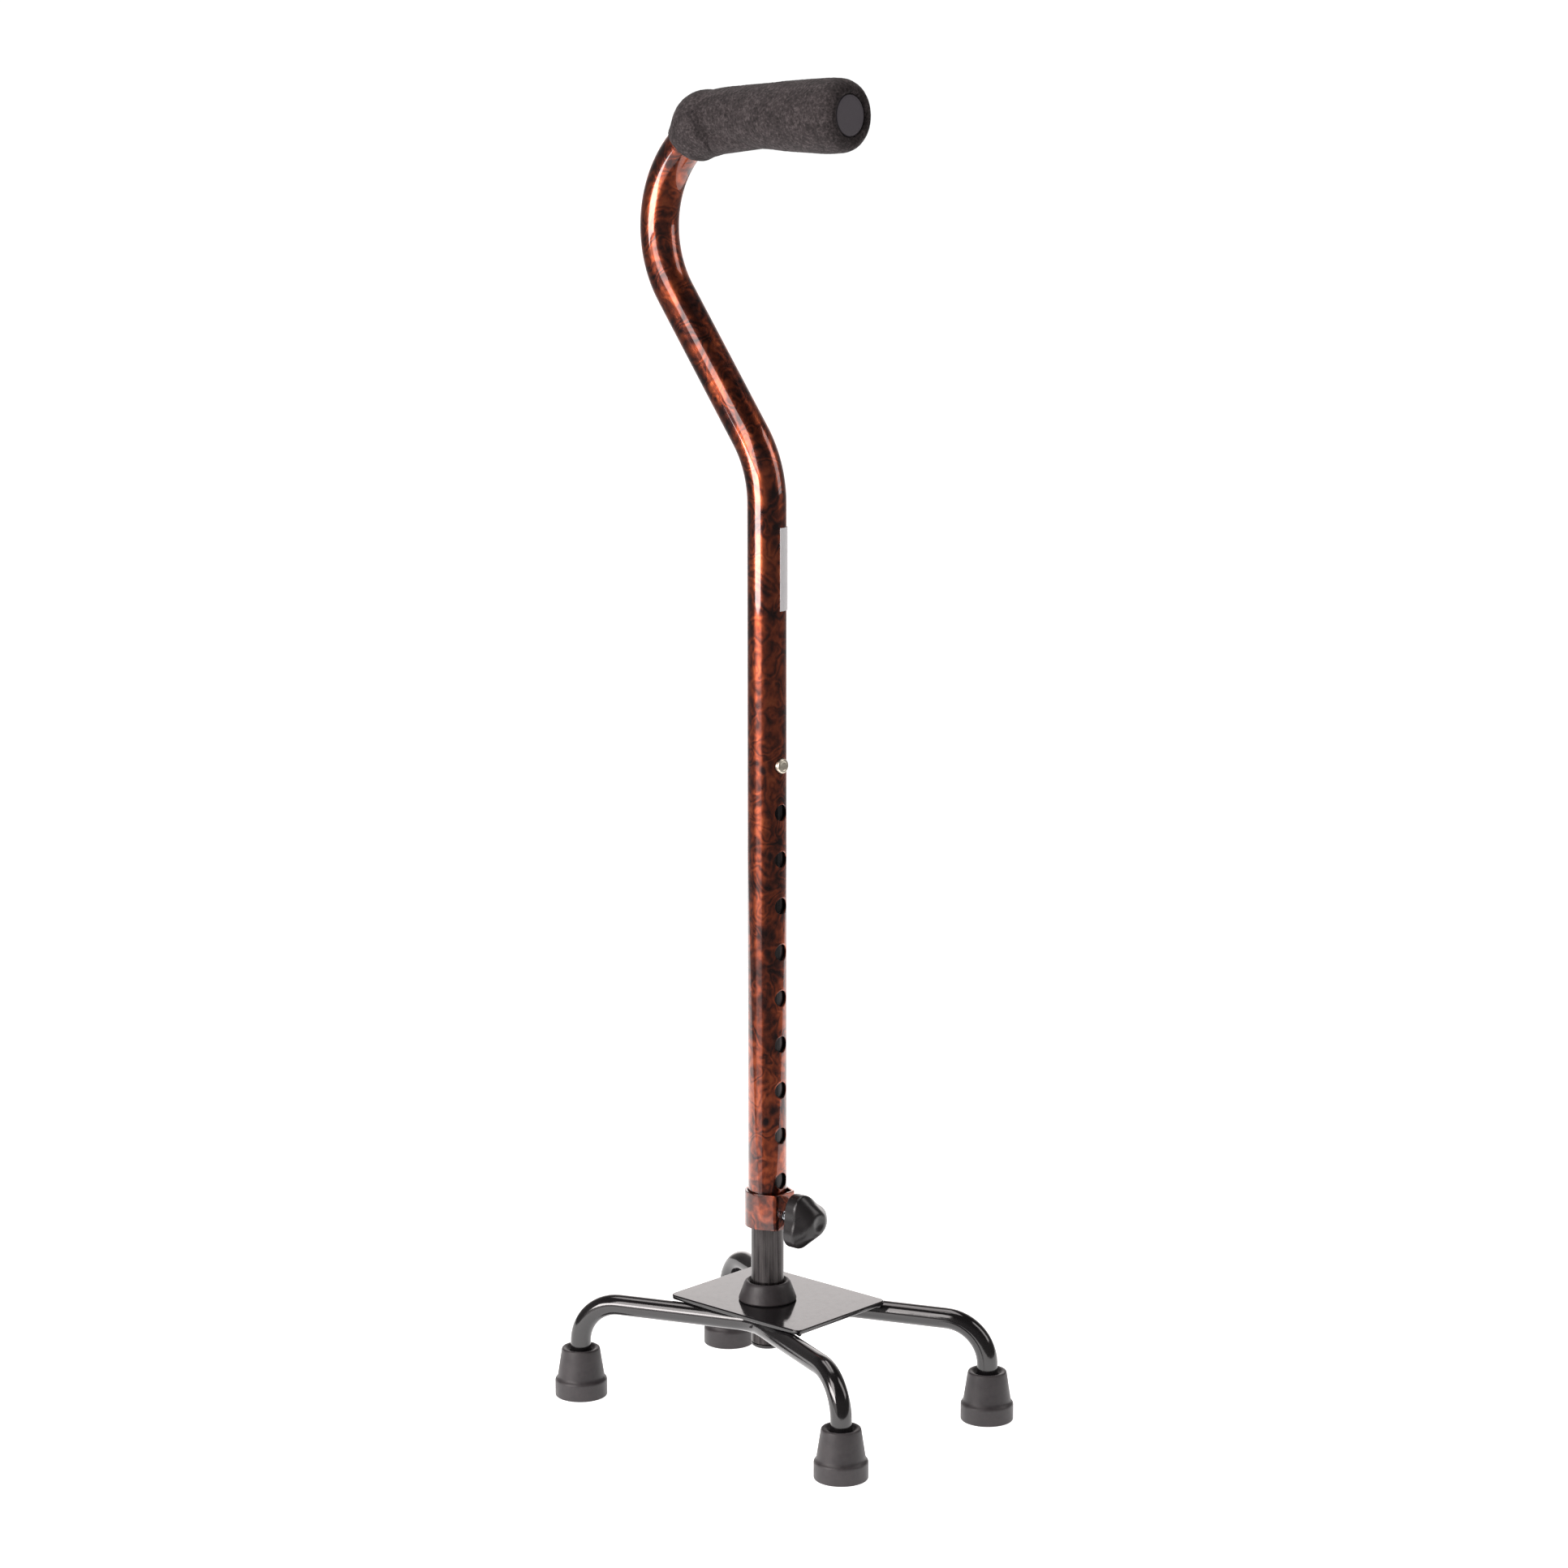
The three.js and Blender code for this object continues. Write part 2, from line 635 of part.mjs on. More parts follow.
function buildBase(cane) {
  addPiece(cane, "base_plate", plateGeometry(), FINISHES.blackPaint);
  const line = legLine();
  for (const side of ["right", "left"]) {
    const half = new THREE.Group();
    half.rotation.z = side === "right" ? 0 : Math.PI;
    cane.add(half);
    const tube = bentTube(line, LEG_RADIUS, LEG_BORE, SMALL_SIDES);
    addPiece(half, `leg_tube_${side}`, tube, FINISHES.blackPaint);
    for (const end of [-1, 1]) {
      const front = (end > 0) === (side === "right");
      const place = `${front ? "front" : "rear"}_${side}`;
      const foot = new THREE.Group();
      foot.position.set(end * FOOT_X, -FOOT_Y, 0);
      half.add(foot);
      addPiece(foot, `foot_${place}`, footGeometry(), FINISHES.rubber);
      addPiece(foot, `foot_washer_${place}`, washerGeometry(), FINISHES.zinc);
      const weld = legWeldGeometry(line, end * LEG_WELD_ALONG);
      addPiece(half, `leg_weld_${place}`, weld, FINISHES.blackPaint);
    }
  }
}

function buildPost(post) {
  addPiece(post, "post_tube", postGeometry(), FINISHES.gunmetal);
  addPiece(post, "post_bottom_plug", postPlugGeometry(), FINISHES.blackPlastic);
  addPiece(post, "post_weld", postWeldGeometry(), FINISHES.blackPaint);
  addPiece(post, "post_boot", bootGeometry(), FINISHES.rubber);
  addPiece(post, "button_spring", springGeometry(), FINISHES.springSteel);
  addPiece(post, "snap_button", buttonGeometry(), FINISHES.nickel);
  addPiece(post, "guide_plug", guideGeometry(), FINISHES.nylon);
}

function buildHandle(post) {
  addPiece(post, "upper_tube", upperTubeGeometry(), FINISHES.bronze);
  addPiece(post, "foam_grip", gripGeometry(), FINISHES.foam);
  addPiece(post, "handle_plug", handlePlugGeometry(), FINISHES.greyPlastic);
  addPiece(post, "label", labelGeometry(), FINISHES.paper);
  addPiece(post, "collar", collarGeometry(), FINISHES.bronze);
  addPiece(post, "knob_screw", screwGeometry(), FINISHES.zinc);
  addPiece(post, "knob", knobGeometry(), FINISHES.blackPlastic);
}

const cane = new THREE.Group();
const post = new THREE.Group();
post.position.set(POST_X, POST_Y, 0);
cane.add(post);
buildBase(cane);
buildPost(post);
buildHandle(post);

export default cane;
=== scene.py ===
"""Quad walking cane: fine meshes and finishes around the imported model.

Lengths are millimetres until a mesh is made. +Z is up and +X is the way the handle points.
"""

import json
import math
from collections import namedtuple

import bmesh
import bpy
from mathutils import Matrix, Vector, noise


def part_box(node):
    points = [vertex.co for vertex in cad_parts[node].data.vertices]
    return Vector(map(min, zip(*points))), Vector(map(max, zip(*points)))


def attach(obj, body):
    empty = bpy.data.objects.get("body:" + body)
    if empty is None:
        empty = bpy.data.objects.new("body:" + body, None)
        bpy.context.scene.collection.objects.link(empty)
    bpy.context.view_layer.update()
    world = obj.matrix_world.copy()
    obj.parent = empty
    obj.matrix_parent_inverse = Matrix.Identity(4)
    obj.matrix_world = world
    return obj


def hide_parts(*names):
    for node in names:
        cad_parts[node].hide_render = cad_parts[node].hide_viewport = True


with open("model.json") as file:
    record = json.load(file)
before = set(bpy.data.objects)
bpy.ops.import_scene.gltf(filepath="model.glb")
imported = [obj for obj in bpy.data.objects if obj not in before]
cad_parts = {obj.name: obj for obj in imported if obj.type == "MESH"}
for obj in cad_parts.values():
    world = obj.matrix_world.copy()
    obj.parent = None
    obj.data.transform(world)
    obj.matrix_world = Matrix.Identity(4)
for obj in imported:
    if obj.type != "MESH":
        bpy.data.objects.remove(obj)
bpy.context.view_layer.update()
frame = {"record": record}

MM = 0.001
TINY = 1e-6
FULL_TURN = 2 * math.pi
GAP = 0.3  # between pieces that touch


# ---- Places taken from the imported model

def box_of(node):
    """The lowest and highest corners of a CAD node, in millimetres."""
    low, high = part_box(node)
    return low / MM, high / MM


def centre_of(node):
    low, high = box_of(node)
    return (low + high) / 2


def half_of(node):
    low, high = box_of(node)
    return (high - low) / 2


def heights_of(node):
    return [corner.z for corner in box_of(node)]


def reach_of(node):
    """How far in front of the post's axis a node starts and ends."""
    return [corner.x - POST_AXIS.x for corner in box_of(node)]


BODY_OF = {
    node: body
    for body, members in frame["record"]["behaviour"]["bodies"].items()
    for node in members
}

POST_AXIS = Vector((*centre_of("post_tube").xy, 0))
POST_RADIUS = half_of("post_tube").y
POST_BOTTOM, POST_TOP = heights_of("post_tube")
TUBE_BOTTOM = heights_of("upper_tube")[0]
BUTTON_HEIGHT = centre_of("snap_button").z
SCREW_HEIGHT = centre_of("knob_screw").z

# ---- Tubes
POST_BORE = 7.7
TUBE_RADIUS = 10.8
TUBE_BORE = 9.5
TUBE_SIDES = 96
RING_STEP = 2.6  # between the rings of a bent tube
EDGE_EASE = 0.5

# ---- Handle tube's centreline
NECK_START = 509.3
NECK_BEND = 60
NECK_ANGLE = math.radians(36.6)
NECK_LENGTH = 92.6
BACK_BEND = 59
HANDLE_RISE = math.radians(1)
HANDLE_LENGTH = 77.3

# ---- Height holes
HOLE_RADIUS = 4.4
HOLE_COUNT = 10
HOLE_PITCH = 25.9
HOLE_LOWEST = BUTTON_HEIGHT - (HOLE_COUNT - 1) * HOLE_PITCH
PATCH_COLUMNS = 8  # columns on each side of a hole that its patch takes
SCREW_HOLE_RADIUS = 3.2

# ---- Legs and feet
FOOT_X = (centre_of("foot_front_right").x - centre_of("foot_rear_right").x) / 2
FOOT_Y = (centre_of("foot_front_left").y - centre_of("foot_front_right").y) / 2
FOOT_HEIGHT = heights_of("foot_front_right")[1]
FOOT_RADIUS = half_of("foot_front_right").x
LEG_RADIUS = 5.8
LEG_BORE = 4.5
LEG_SIDES = 48
LEG_END, LEG_TOP = heights_of("leg_tube_right")
LEG_AXIS_HEIGHT = LEG_TOP - LEG_RADIUS
LEG_VERTEX_Y = 22.6
LEG_VERTEX_BEND = 25
LEG_DOWN_BEND = 24
LEG_WELD_RADIUS = 1.2
LEG_WELD_LENGTH = 13
LEG_WELD_OFFSET = 6
LEG_WELD_ALONG = 38

# ---- Plate
PLATE_CORNER = 4.5
PLATE_EASE = 0.7
PLATE_HOLE_EASE = 0.4
PLATE_STEP = 4

# ---- Collar, screw and knob, as distances from the post's axis
COLLAR_BORE = 11.1
COLLAR_THICKNESS = 1.6
COLLAR_NOSE = 13.75
COLLAR_NOSE_HALF = 7.75
COLLAR_COLUMNS = 144
COLLAR_EASE = 0.28
SCREW_RADIUS = 2.9
SCREW_PITCH = 1.0
KNOB_MEAN_RADIUS = 13.9
KNOB_LOBE = 2.2
KNOB_LOBES = 3
KNOB_TURNED = math.radians(-8)
KNOB_HUB_RADIUS = 6.5

# ---- Grip
GRIP_LENGTH = 121.2
GRIP_BORE = 11.1
GRIP_FRONT_BORE = 11.05
GRIP_OVERHANG = 3.3
GRIP_SIDES = 256
GRIP_STEP = 0.5

# ---- Label, with its angles round the post from the front
LABEL_INNER = 10.9
LABEL_OUTER = 11.08
LABEL_START = math.radians(-7)
LABEL_END = math.radians(123)
LABEL_STEP = math.radians(2.17)

# ---- Camera
CAMERA_AZIMUTH = math.radians(42.13)
CAMERA_ELEVATION = math.radians(10.574)
CAMERA_TARGET = Vector((0.0009, 0.0005, 0.3556))
CAMERA_DISTANCE = 2.095
CAMERA_LENS = 88.27
CAMERA_SENSOR = 36

# ---- Light
WARM_WHITE = (1, 0.945, 0.935)
WORLD_STRENGTH = 2.25
WORLD_OVERHEAD = 0.3  # share of its strength that is left overhead
WORLD_FADE = (0.3, 0.8)  # it fades between these heights of a unit vector
WORLD_SEEN = 1.05  # as the camera sees it
# Greys of the world, from straight behind the object (0) round to the camera (1).
WORLD_SHADES = [(0, 1), (0.032, 0.95), (0.068, 0.22), (0.2, 0.07), (0.6, 0.055), (1, 0.055)]
FLOOR_RADIUS = 1000  # millimetres, as its mesh is
FLOOR_SIDES = 128
FLOOR_SET_BACK = 0.65  # metres
# Lamps, in metres: name, degrees clockwise from the camera, height, distance, size, radiance, aim height.
SOFTBOXES = [
    ("key", 54, 0.46, 1.3, (0.8, 0.38), 13, 0.46),
    ("upper_left", 42, 1.0, 1.2, (0.6, 0.7), 5, 0.3),
    ("lower_left", 50, -0.35, 1.3, (0.85, 1.2), 1.0, 0),
    ("right", -86, 1.14, 1.3, (0.55, 1.24), 2.8, 0.8),
    ("top", 160, 1.9, 0.5, (1.2, 1.2), 3, 0.2),
]


# ---- Camera, floor and light

def from_camera_side(turned, elevation):
    """A unit vector from the object, turned clockwise from the camera as seen from above."""
    azimuth = CAMERA_AZIMUTH - turned
    level = math.cos(elevation)
    return Vector((math.sin(azimuth) * level, -math.cos(azimuth) * level, math.sin(elevation)))


def put(name, data, place, toward):
    """Puts a camera or a lamp at a place, looking along a direction."""
    holder = bpy.data.objects.new(name, data)
    bpy.context.scene.collection.objects.link(holder)
    holder.location = place
    holder.rotation_mode = "QUATERNION"
    holder.rotation_quaternion = toward.to_track_quat("-Z", "Y")
    return holder


def make_camera():
    back = from_camera_side(0, CAMERA_ELEVATION)
    camera = put("camera", bpy.data.cameras.new("camera"), CAMERA_TARGET + back * CAMERA_DISTANCE, -back)
    camera.data.lens = CAMERA_LENS
    camera.data.sensor_width = CAMERA_SENSOR
    bpy.context.scene.camera = camera


def make_softbox(name, degrees, height, distance, size, radiance, aim_height):
    lamp = bpy.data.lights.new(name, "AREA")
    lamp.shape = "RECTANGLE"
    lamp.size, lamp.size_y = size
    lamp.energy = radiance * math.pi * size[0] * size[1]
    lamp.color = WARM_WHITE
    place = from_camera_side(math.radians(degrees), 0) * distance + Vector((0, 0, height))
    put(name, lamp, place, Vector((0, 0, aim_height)) - place).visible_camera = False


def make_world():
    """Bright behind the object, dim at its sides, overhead and at the camera, and plain white to look at."""
    world = bpy.data.worlds.new("studio")
    bpy.context.scene.world = world
    world.use_nodes = True
    nodes = Nodes(world.node_tree)
    heading = nodes.add("ShaderNodeTexCoord", {}).outputs["Generated"]
    toward = {0: heading, 1: from_camera_side(0, 0)}
    facing = nodes.add("ShaderNodeVectorMath", toward, operation="DOT_PRODUCT").outputs["Value"]
    greys = [(position, (grey, grey, grey)) for position, grey in WORLD_SHADES]
    around = nodes.ramp(nodes.remap(facing, -1, 1, 0, 1), greys)
    height = nodes.add("ShaderNodeSeparateXYZ", {"Vector": heading}).outputs["Z"]
    strengths = (WORLD_STRENGTH, WORLD_STRENGTH * WORLD_OVERHEAD)
    lit = nodes.remap(height, *WORLD_FADE, *strengths, interpolation_type="SMOOTHSTEP")
    shade = nodes.maths("MULTIPLY", around, lit)
    rays = nodes.add("ShaderNodeLightPath", {}).outputs["Is Camera Ray"]
    seen = nodes.add("ShaderNodeMix", {"Factor": rays, "A": shade, "B": WORLD_SEEN}).outputs["Result"]
    background = nodes.tree.nodes["Background"]
    nodes.feed(background.inputs["Strength"], seen)
    nodes.feed(background.inputs["Color"], nodes.mix(rays, WARM_WHITE, (1, 1, 1)))


def make_floor():
    """A pale floor that ends a little way in front of the object, where a table's edge would be."""
    floor = revolve([(0, 0), (FLOOR_RADIUS, 0)], FLOOR_SIDES, Vector).to_object("floor")
    floor.location = from_camera_side(math.pi, 0) * FLOOR_SET_BACK
    paint = Finish("floor_paint", {"Roughness": 0.85, "Emission Strength": 0.95})
    shade = paint.noise(paint.place(), 60, detail=3)
    paint.set("Base Color", paint.ramp(shade, [(0, (0.88, 0.88, 0.88)), (1, (0.93, 0.93, 0.93))]))
    paint.set("Emission Color", (1, 1, 1))
    floor.data.materials.append(paint.material)


# ---- Meshes

class Surface:
    """Points in millimetres, faces, and each point's place before bending, which its finish reads."""

    def __init__(self):
        self.points = []
        self.unbent = []
        self.faces = []

    def add_loop(self, spots, place):
        """Adds points given as they are before bending, and returns their numbers."""
        start = len(self.points)
        self.points += [place(spot) for spot in spots]
        self.unbent += spots
        return list(range(start, len(self.points)))

    def bridge(self, first, second):
        """Joins two closed loops with as many points each, or a loop and a single point."""
        count = max(len(first), len(second))
        for i in range(count):
            j = (i + 1) % count
            corners = [loop[k % len(loop)] for loop, k in ((first, i), (first, j), (second, j), (second, i))]
            self.faces.append(tuple(dict.fromkeys(corners)))

    def bridge_all(self, loops, ring=False):
        for first, second in zip(loops, loops[1:] + (loops[:1] if ring else [])):
            self.bridge(first, second)

    def to_object(self, name):
        mesh = bpy.data.meshes.new(name)
        mesh.from_pydata([point * MM for point in self.points], [], self.faces)
        unbent = mesh.attributes.new("unbent", "FLOAT_VECTOR", "POINT")
        unbent.data.foreach_set("vector", [c for point in self.unbent for c in point])
        made = bpy.data.objects.new(name, mesh)
        bpy.context.scene.collection.objects.link(made)
        return made


def polar(radius, angle, height=0):
    return Vector((radius * math.cos(angle), radius * math.sin(angle), height))


def circle(radius, height, sides):
    return [polar(radius, FULL_TURN * side / sides, height) for side in range(sides)]


def eased(corners, steps=5):
    """A profile's points, each corner (radius, height, ease) of it rounded off from ease away."""
    most = 0.49  # of an edge, for each of its corners
    points = []
    for i, (x, y, ease) in enumerate(corners):
        here = Vector((x, y))
        if ease <= 0 or i in (0, len(corners) - 1):
            points.append(here)
            continue
        ways = [Vector(corners[near][:2]) - here for near in (i - 1, i + 1)]
        start, end = (here + way.normalized() * min(ease, way.length * most) for way in ways)
        for step in range(steps + 1):
            t = step / steps
            points.append(start * (1 - t) ** 2 + here * 2 * t * (1 - t) + end * t ** 2)
    return points


def revolve(profile, sides, place, ring=False, swell=lambda radius, height, angle: 0):
    """A solid of revolution. What swell gives is added to the radius."""
    surface = Surface()
    angles = [FULL_TURN * side / sides for side in range(sides)]
    loops = []
    for radius, height in profile:
        loop = [Vector((0, 0, height))]
        if radius > TINY:
            loop = [polar(radius + swell(radius, height, angle), angle, height) for angle in angles]
        loops.append(surface.add_loop(loop, place))
    surface.bridge_all(loops, ring)
    return surface


def out_of_post(height):
    """Places a point given along +Z so that it runs forward out of the post at a height."""
    return lambda local: POST_AXIS + Vector((local.z, local.y, height - local.x))


def in_frame(frame_there, offset=Vector()):
    """Places a point in a frame, moved by an offset first."""
    return lambda local: frame_there @ (local + offset)


def at_point(point):
    return lambda local: local + point


on_post = at_point(POST_AXIS)


class Centreline:
    """Straight runs and round bends. A frame's X is its side, its Y its up and its Z its heading."""

    def __init__(self, origin, up, heading):
        side = up.cross(heading)
        turn = Matrix((side, up, heading)).transposed().to_4x4()
        self.end = Matrix.Translation(origin) @ turn
        self.runs = []
        self.length = 0

    def add_run(self, length, move):
        start = self.end.copy()
        self.runs.append((self.length, start, move))
        self.length += length
        self.end = start @ move(length)
        return self

    def straight(self, length):
        return self.add_run(length, lambda distance: Matrix.Translation((0, 0, distance)))

    def bend(self, radius, angle, centre, axis):
        out = Matrix.Translation(centre)
        back = Matrix.Translation(-centre)
        length = radius * abs(angle)
        return self.add_run(
            length, lambda distance: out @ Matrix.Rotation(angle * distance / length, 4, axis) @ back,
        )

    def pitch(self, radius, angle):
        """Bends away from up for a positive angle."""
        return self.bend(radius, angle, Vector((0, -math.copysign(radius, angle), 0)), "X")

    def yaw(self, radius, angle):
        """Bends towards the side for a positive angle."""
        return self.bend(radius, angle, Vector((math.copysign(radius, angle), 0, 0)), "Y")

    def frame_at(self, distance):
        begin, start, move = self.runs[0]
        for run in self.runs:
            if run[0] <= distance:
                begin, start, move = run
        return start @ move(distance - begin)

    def place(self, local):
        """Bends a point whose height is the distance along the line, and whose X points away from up."""
        return self.frame_at(local.z) @ Vector((local.y, -local.x, 0))


def steps_between(low, high, step):
    count = max(1, round((high - low) / step))
    return [low + (high - low) * i / count for i in range(count + 1)]


# ---- A wall with round cross holes, such as a tube's

# A wall's end, as shares: of its thickness, from outside to inside, and of the ease, down from the end.
RIM = [(0, 1), (0.06, 0.45), (0.25, 0.08), (0.5, 0), (0.75, 0.08), (0.94, 0.45), (1, 1)]
HOLE_RIM = [(1, 0), (0.35, 0.1), (0.08, 0.4), (0, 1)]  # shares of the ease: wider, and deeper
PATCH_SHARES = (0.35, 0.7)  # of the way from a patch's square edge to its round one
PATCH_ROWS = 16

# A wall's inner or outer face: its section, and how far forward it is at a distance from the middle.
Skin = namedtuple("Skin", "section reach")

# side is 1 for forward and -1 for back; half and wings are half of the patch's height and columns.
Hole = namedtuple("Hole", "height half radius side column wings")


class PiercedWall:
    """A closed wall between two sections. Its holes run along local X, each through a patch of its grid."""

    def __init__(self, skins, heights, holes, place, ease):
        self.surface = Surface()
        self.skins = skins
        self.heights = heights
        self.place = place
        self.ease = ease
        self.columns = len(skins[0].section)
        self.grids = [self.make_grid(skin) for skin in skins]
        taken = set()
        for hole in holes:
            taken |= self.make_hole(hole)
        self.join_grids(taken)
        self.make_rim(0, self.heights[0], -1)
        self.make_rim(len(heights) - 1, self.heights[-1], 1)

    def make_grid(self, skin):
        return [
            self.surface.add_loop([Vector((*spot, height)) for spot in skin.section], self.place)
            for height in self.heights
        ]

    def join_grids(self, taken):
        for grid in self.grids:
            for row, (lower, upper) in enumerate(zip(grid, grid[1:])):
                for column in range(self.columns):
                    after = (column + 1) % self.columns
                    if (row, column) not in taken:
                        self.surface.faces.append((lower[column], lower[after], upper[after], upper[column]))

    def make_rim(self, row, height, outward):
        loops = [self.grids[0][row]]
        for share, lift in RIM[1:-1]:
            edge = height + outward * self.ease * (1 - lift)
            sections = zip(*(skin.section for skin in self.skins))
            loop = [Vector((*outer.lerp(inner, share), edge)) for outer, inner in sections]
            loops.append(self.surface.add_loop(loop, self.place))
        self.surface.bridge_all([*loops, self.grids[1][row]])

    def make_hole(self, hole):
        """Makes one hole and returns the grid cells that its patch takes."""
        low, high = (
            min(range(len(self.heights)), key=lambda row: abs(self.heights[row] - end))
            for end in (hole.height - hole.half, hole.height + hole.half)
        )
        first = hole.column - hole.wings
        last = hole.column + hole.wings
        edge = [(low, column) for column in range(first, last)]
        edge += [(row, last) for row in range(low, high)]
        edge += [(high, column) for column in range(last, first, -1)]
        edge += [(row, first) for row in range(high, low, -1)]
        edge = [(row, column % self.columns) for row, column in edge]
        rises = [self.heights[row] - hole.height for row, _ in edge]
        outer = [self.skins[0].section[column].y for _, column in edge]
        angles = [math.atan2(rise, across) for rise, across in zip(rises, outer)]

        def rim(wider):
            return [polar(hole.radius + self.ease * wider, angle) for angle in angles]

        ends = []
        for skin, grid, inwards in zip(self.skins, self.grids, (-1, 1)):
            across = [skin.section[column].y for _, column in edge]
            square = [Vector((*spot, 0)) for spot in zip(across, rises)]
            loops = [[grid[row][column] for row, column in edge]]
            for share in PATCH_SHARES:
                spots = [corner.lerp(spot, share) for corner, spot in zip(square, rim(1))]
                loops.append(self.hole_loop(skin, hole, spots, 0))
            for wider, deeper in HOLE_RIM:
                loops.append(self.hole_loop(skin, hole, rim(wider), inwards * self.ease * deeper))
            self.surface.bridge_all(loops)
            ends.append(loops[-1])
        self.surface.bridge(*ends)
        return {(row, column % self.columns) for row in range(low, high) for column in range(first, last)}

    def hole_loop(self, skin, hole, spots, depth):
        loop = [
            Vector((hole.side * (skin.reach(spot.x) + depth), spot.x, hole.height + spot.y))
            for spot in spots
        ]
        return self.surface.add_loop(loop, self.place)


def round_skin(radius, sides):
    section = [spot.xy for spot in circle(radius, 0, sides)]
    return Skin(section, lambda y: math.sqrt(radius * radius - y * y))


def cross_hole(height, radius, half, side, columns=TUBE_SIDES, wings=PATCH_COLUMNS):
    return Hole(height, half, radius, side, 0 if side > 0 else columns // 2, wings)


def rows_with_patches(low, high, holes, step, patch_rows=PATCH_ROWS):
    """Row heights: close inside each hole's patch, and a step apart between them."""
    heights = []
    start = low
    for hole in sorted(holes):
        bottom, top = hole.height - hole.half, hole.height + hole.half
        heights += steps_between(start, bottom, step)[:-1]
        heights += steps_between(bottom, top, (top - bottom) / patch_rows)[:-1]
        start = top
    return heights + steps_between(start, high, step)


def tube_wall(outer, inner, low, high, holes, place, step=RING_STEP):
    skins = [round_skin(outer, TUBE_SIDES), round_skin(inner, TUBE_SIDES)]
    unique = {round(hole.height, 3): hole for hole in holes}.values()
    heights = rows_with_patches(low + EDGE_EASE, high - EDGE_EASE, unique, step)
    return PiercedWall(skins, heights, holes, place, EDGE_EASE).surface


# ---- Finishes

class Nodes:
    """A node tree, and calls that add to it. An input is a value or another node's output."""

    def __init__(self, tree):
        self.tree = tree

    def feed(self, socket, value):
        if isinstance(value, bpy.types.NodeSocket):
            self.tree.links.new(value, socket)
        elif isinstance(value, tuple) and len(value) == 3 and socket.type == "RGBA":
            socket.default_value = (*value, 1)
        else:
            socket.default_value = value

    def add(self, kind, inputs, **settings):
        node = self.tree.nodes.new(kind)
        for name, value in settings.items():
            setattr(node, name, value)
        for socket, value in inputs.items():
            self.feed(node.inputs[socket], value)
        return node

    def ramp(self, value, stops):
        node = self.add("ShaderNodeValToRGB", {"Fac": value})
        elements = node.color_ramp.elements
        while len(elements) < len(stops):
            elements.new(0.5)
        for element, (position, colour) in zip(elements, stops):
            element.position = position
            element.color = (*colour, 1)
        return node.outputs["Color"]

    def remap(self, value, low, high, to_low, to_high, **settings):
        inputs = {"Value": value, "From Min": low, "From Max": high, "To Min": to_low, "To Max": to_high}
        return self.add("ShaderNodeMapRange", inputs, **settings).outputs["Result"]

    def mix(self, share, first, second):
        return self.add("ShaderNodeMix", {0: share, 6: first, 7: second}, data_type="RGBA").outputs[2]

    def maths(self, operation, first, second):
        return self.add("ShaderNodeMath", {0: first, 1: second}, operation=operation).outputs[0]

    def weighed(self, *terms):
        """Values added up, each times its weight."""
        scaled = [self.maths("MULTIPLY", value, weight) for value, weight in terms]
        total = scaled[0]
        for term in scaled[1:]:
            total = self.maths("ADD", total, term)
        return total


class Finish(Nodes):
    """A material and the calls that wire it. Sizes of patterns are in millimetres."""

    def __init__(self, name, values):
        self.material = bpy.data.materials.new(name)
        self.material.use_nodes = True
        super().__init__(self.material.node_tree)
        self.shader = self.tree.nodes["Principled BSDF"]
        for socket, value in values.items():
            self.shader.inputs[socket].default_value = value

    def set(self, socket, value):
        self.feed(self.shader.inputs[socket], value)

    def wired(self, *values):
        """The material, with these joined to its colour, roughness and normal."""
        for socket, value in zip(("Base Color", "Roughness", "Normal"), values):
            self.set(socket, value)
        return self.material

    def place(self, stretch=(1, 1, 1)):
        """The point's place before bending, in millimetres, squeezed along each axis by stretch."""
        spot = self.add("ShaderNodeAttribute", {}, attribute_name="unbent").outputs["Vector"]
        return self.add("ShaderNodeVectorMath", {0: spot, 1: stretch}, operation="MULTIPLY").outputs[0]

    def noise(self, place, size, detail=4, roughness=0.5, distortion=0.0, output="Fac"):
        inputs = {"Vector": place, "Scale": 1 / size, "Detail": detail, "Roughness": roughness}
        inputs["Distortion"] = distortion
        return self.add("ShaderNodeTexNoise", inputs).outputs[output]

    def cells(self, place, size):
        return self.add("ShaderNodeTexVoronoi", {"Vector": place, "Scale": 1 / size}).outputs["Distance"]

    def warped(self, place, size, amount):
        """The place pushed about by a soft noise."""
        push = self.noise(place, size, detail=3, output="Color")
        centred = self.add("ShaderNodeVectorMath", {0: push, 1: (0.5, 0.5, 0.5)}, operation="SUBTRACT")
        reach = {0: centred.outputs[0], "Scale": amount}
        scaled = self.add("ShaderNodeVectorMath", reach, operation="SCALE").outputs[0]
        return self.add("ShaderNodeVectorMath", {0: place, 1: scaled}, operation="ADD").outputs[0]

    def bump(self, height, depth, strength=1.0, after=None):
        """Relief of a depth in millimetres, added to the relief that after has."""
        inputs = {"Height": height, "Distance": depth * MM, "Strength": strength}
        if after is not None:
            inputs["Normal"] = after
        return self.add("ShaderNodeBump", inputs).outputs["Normal"]


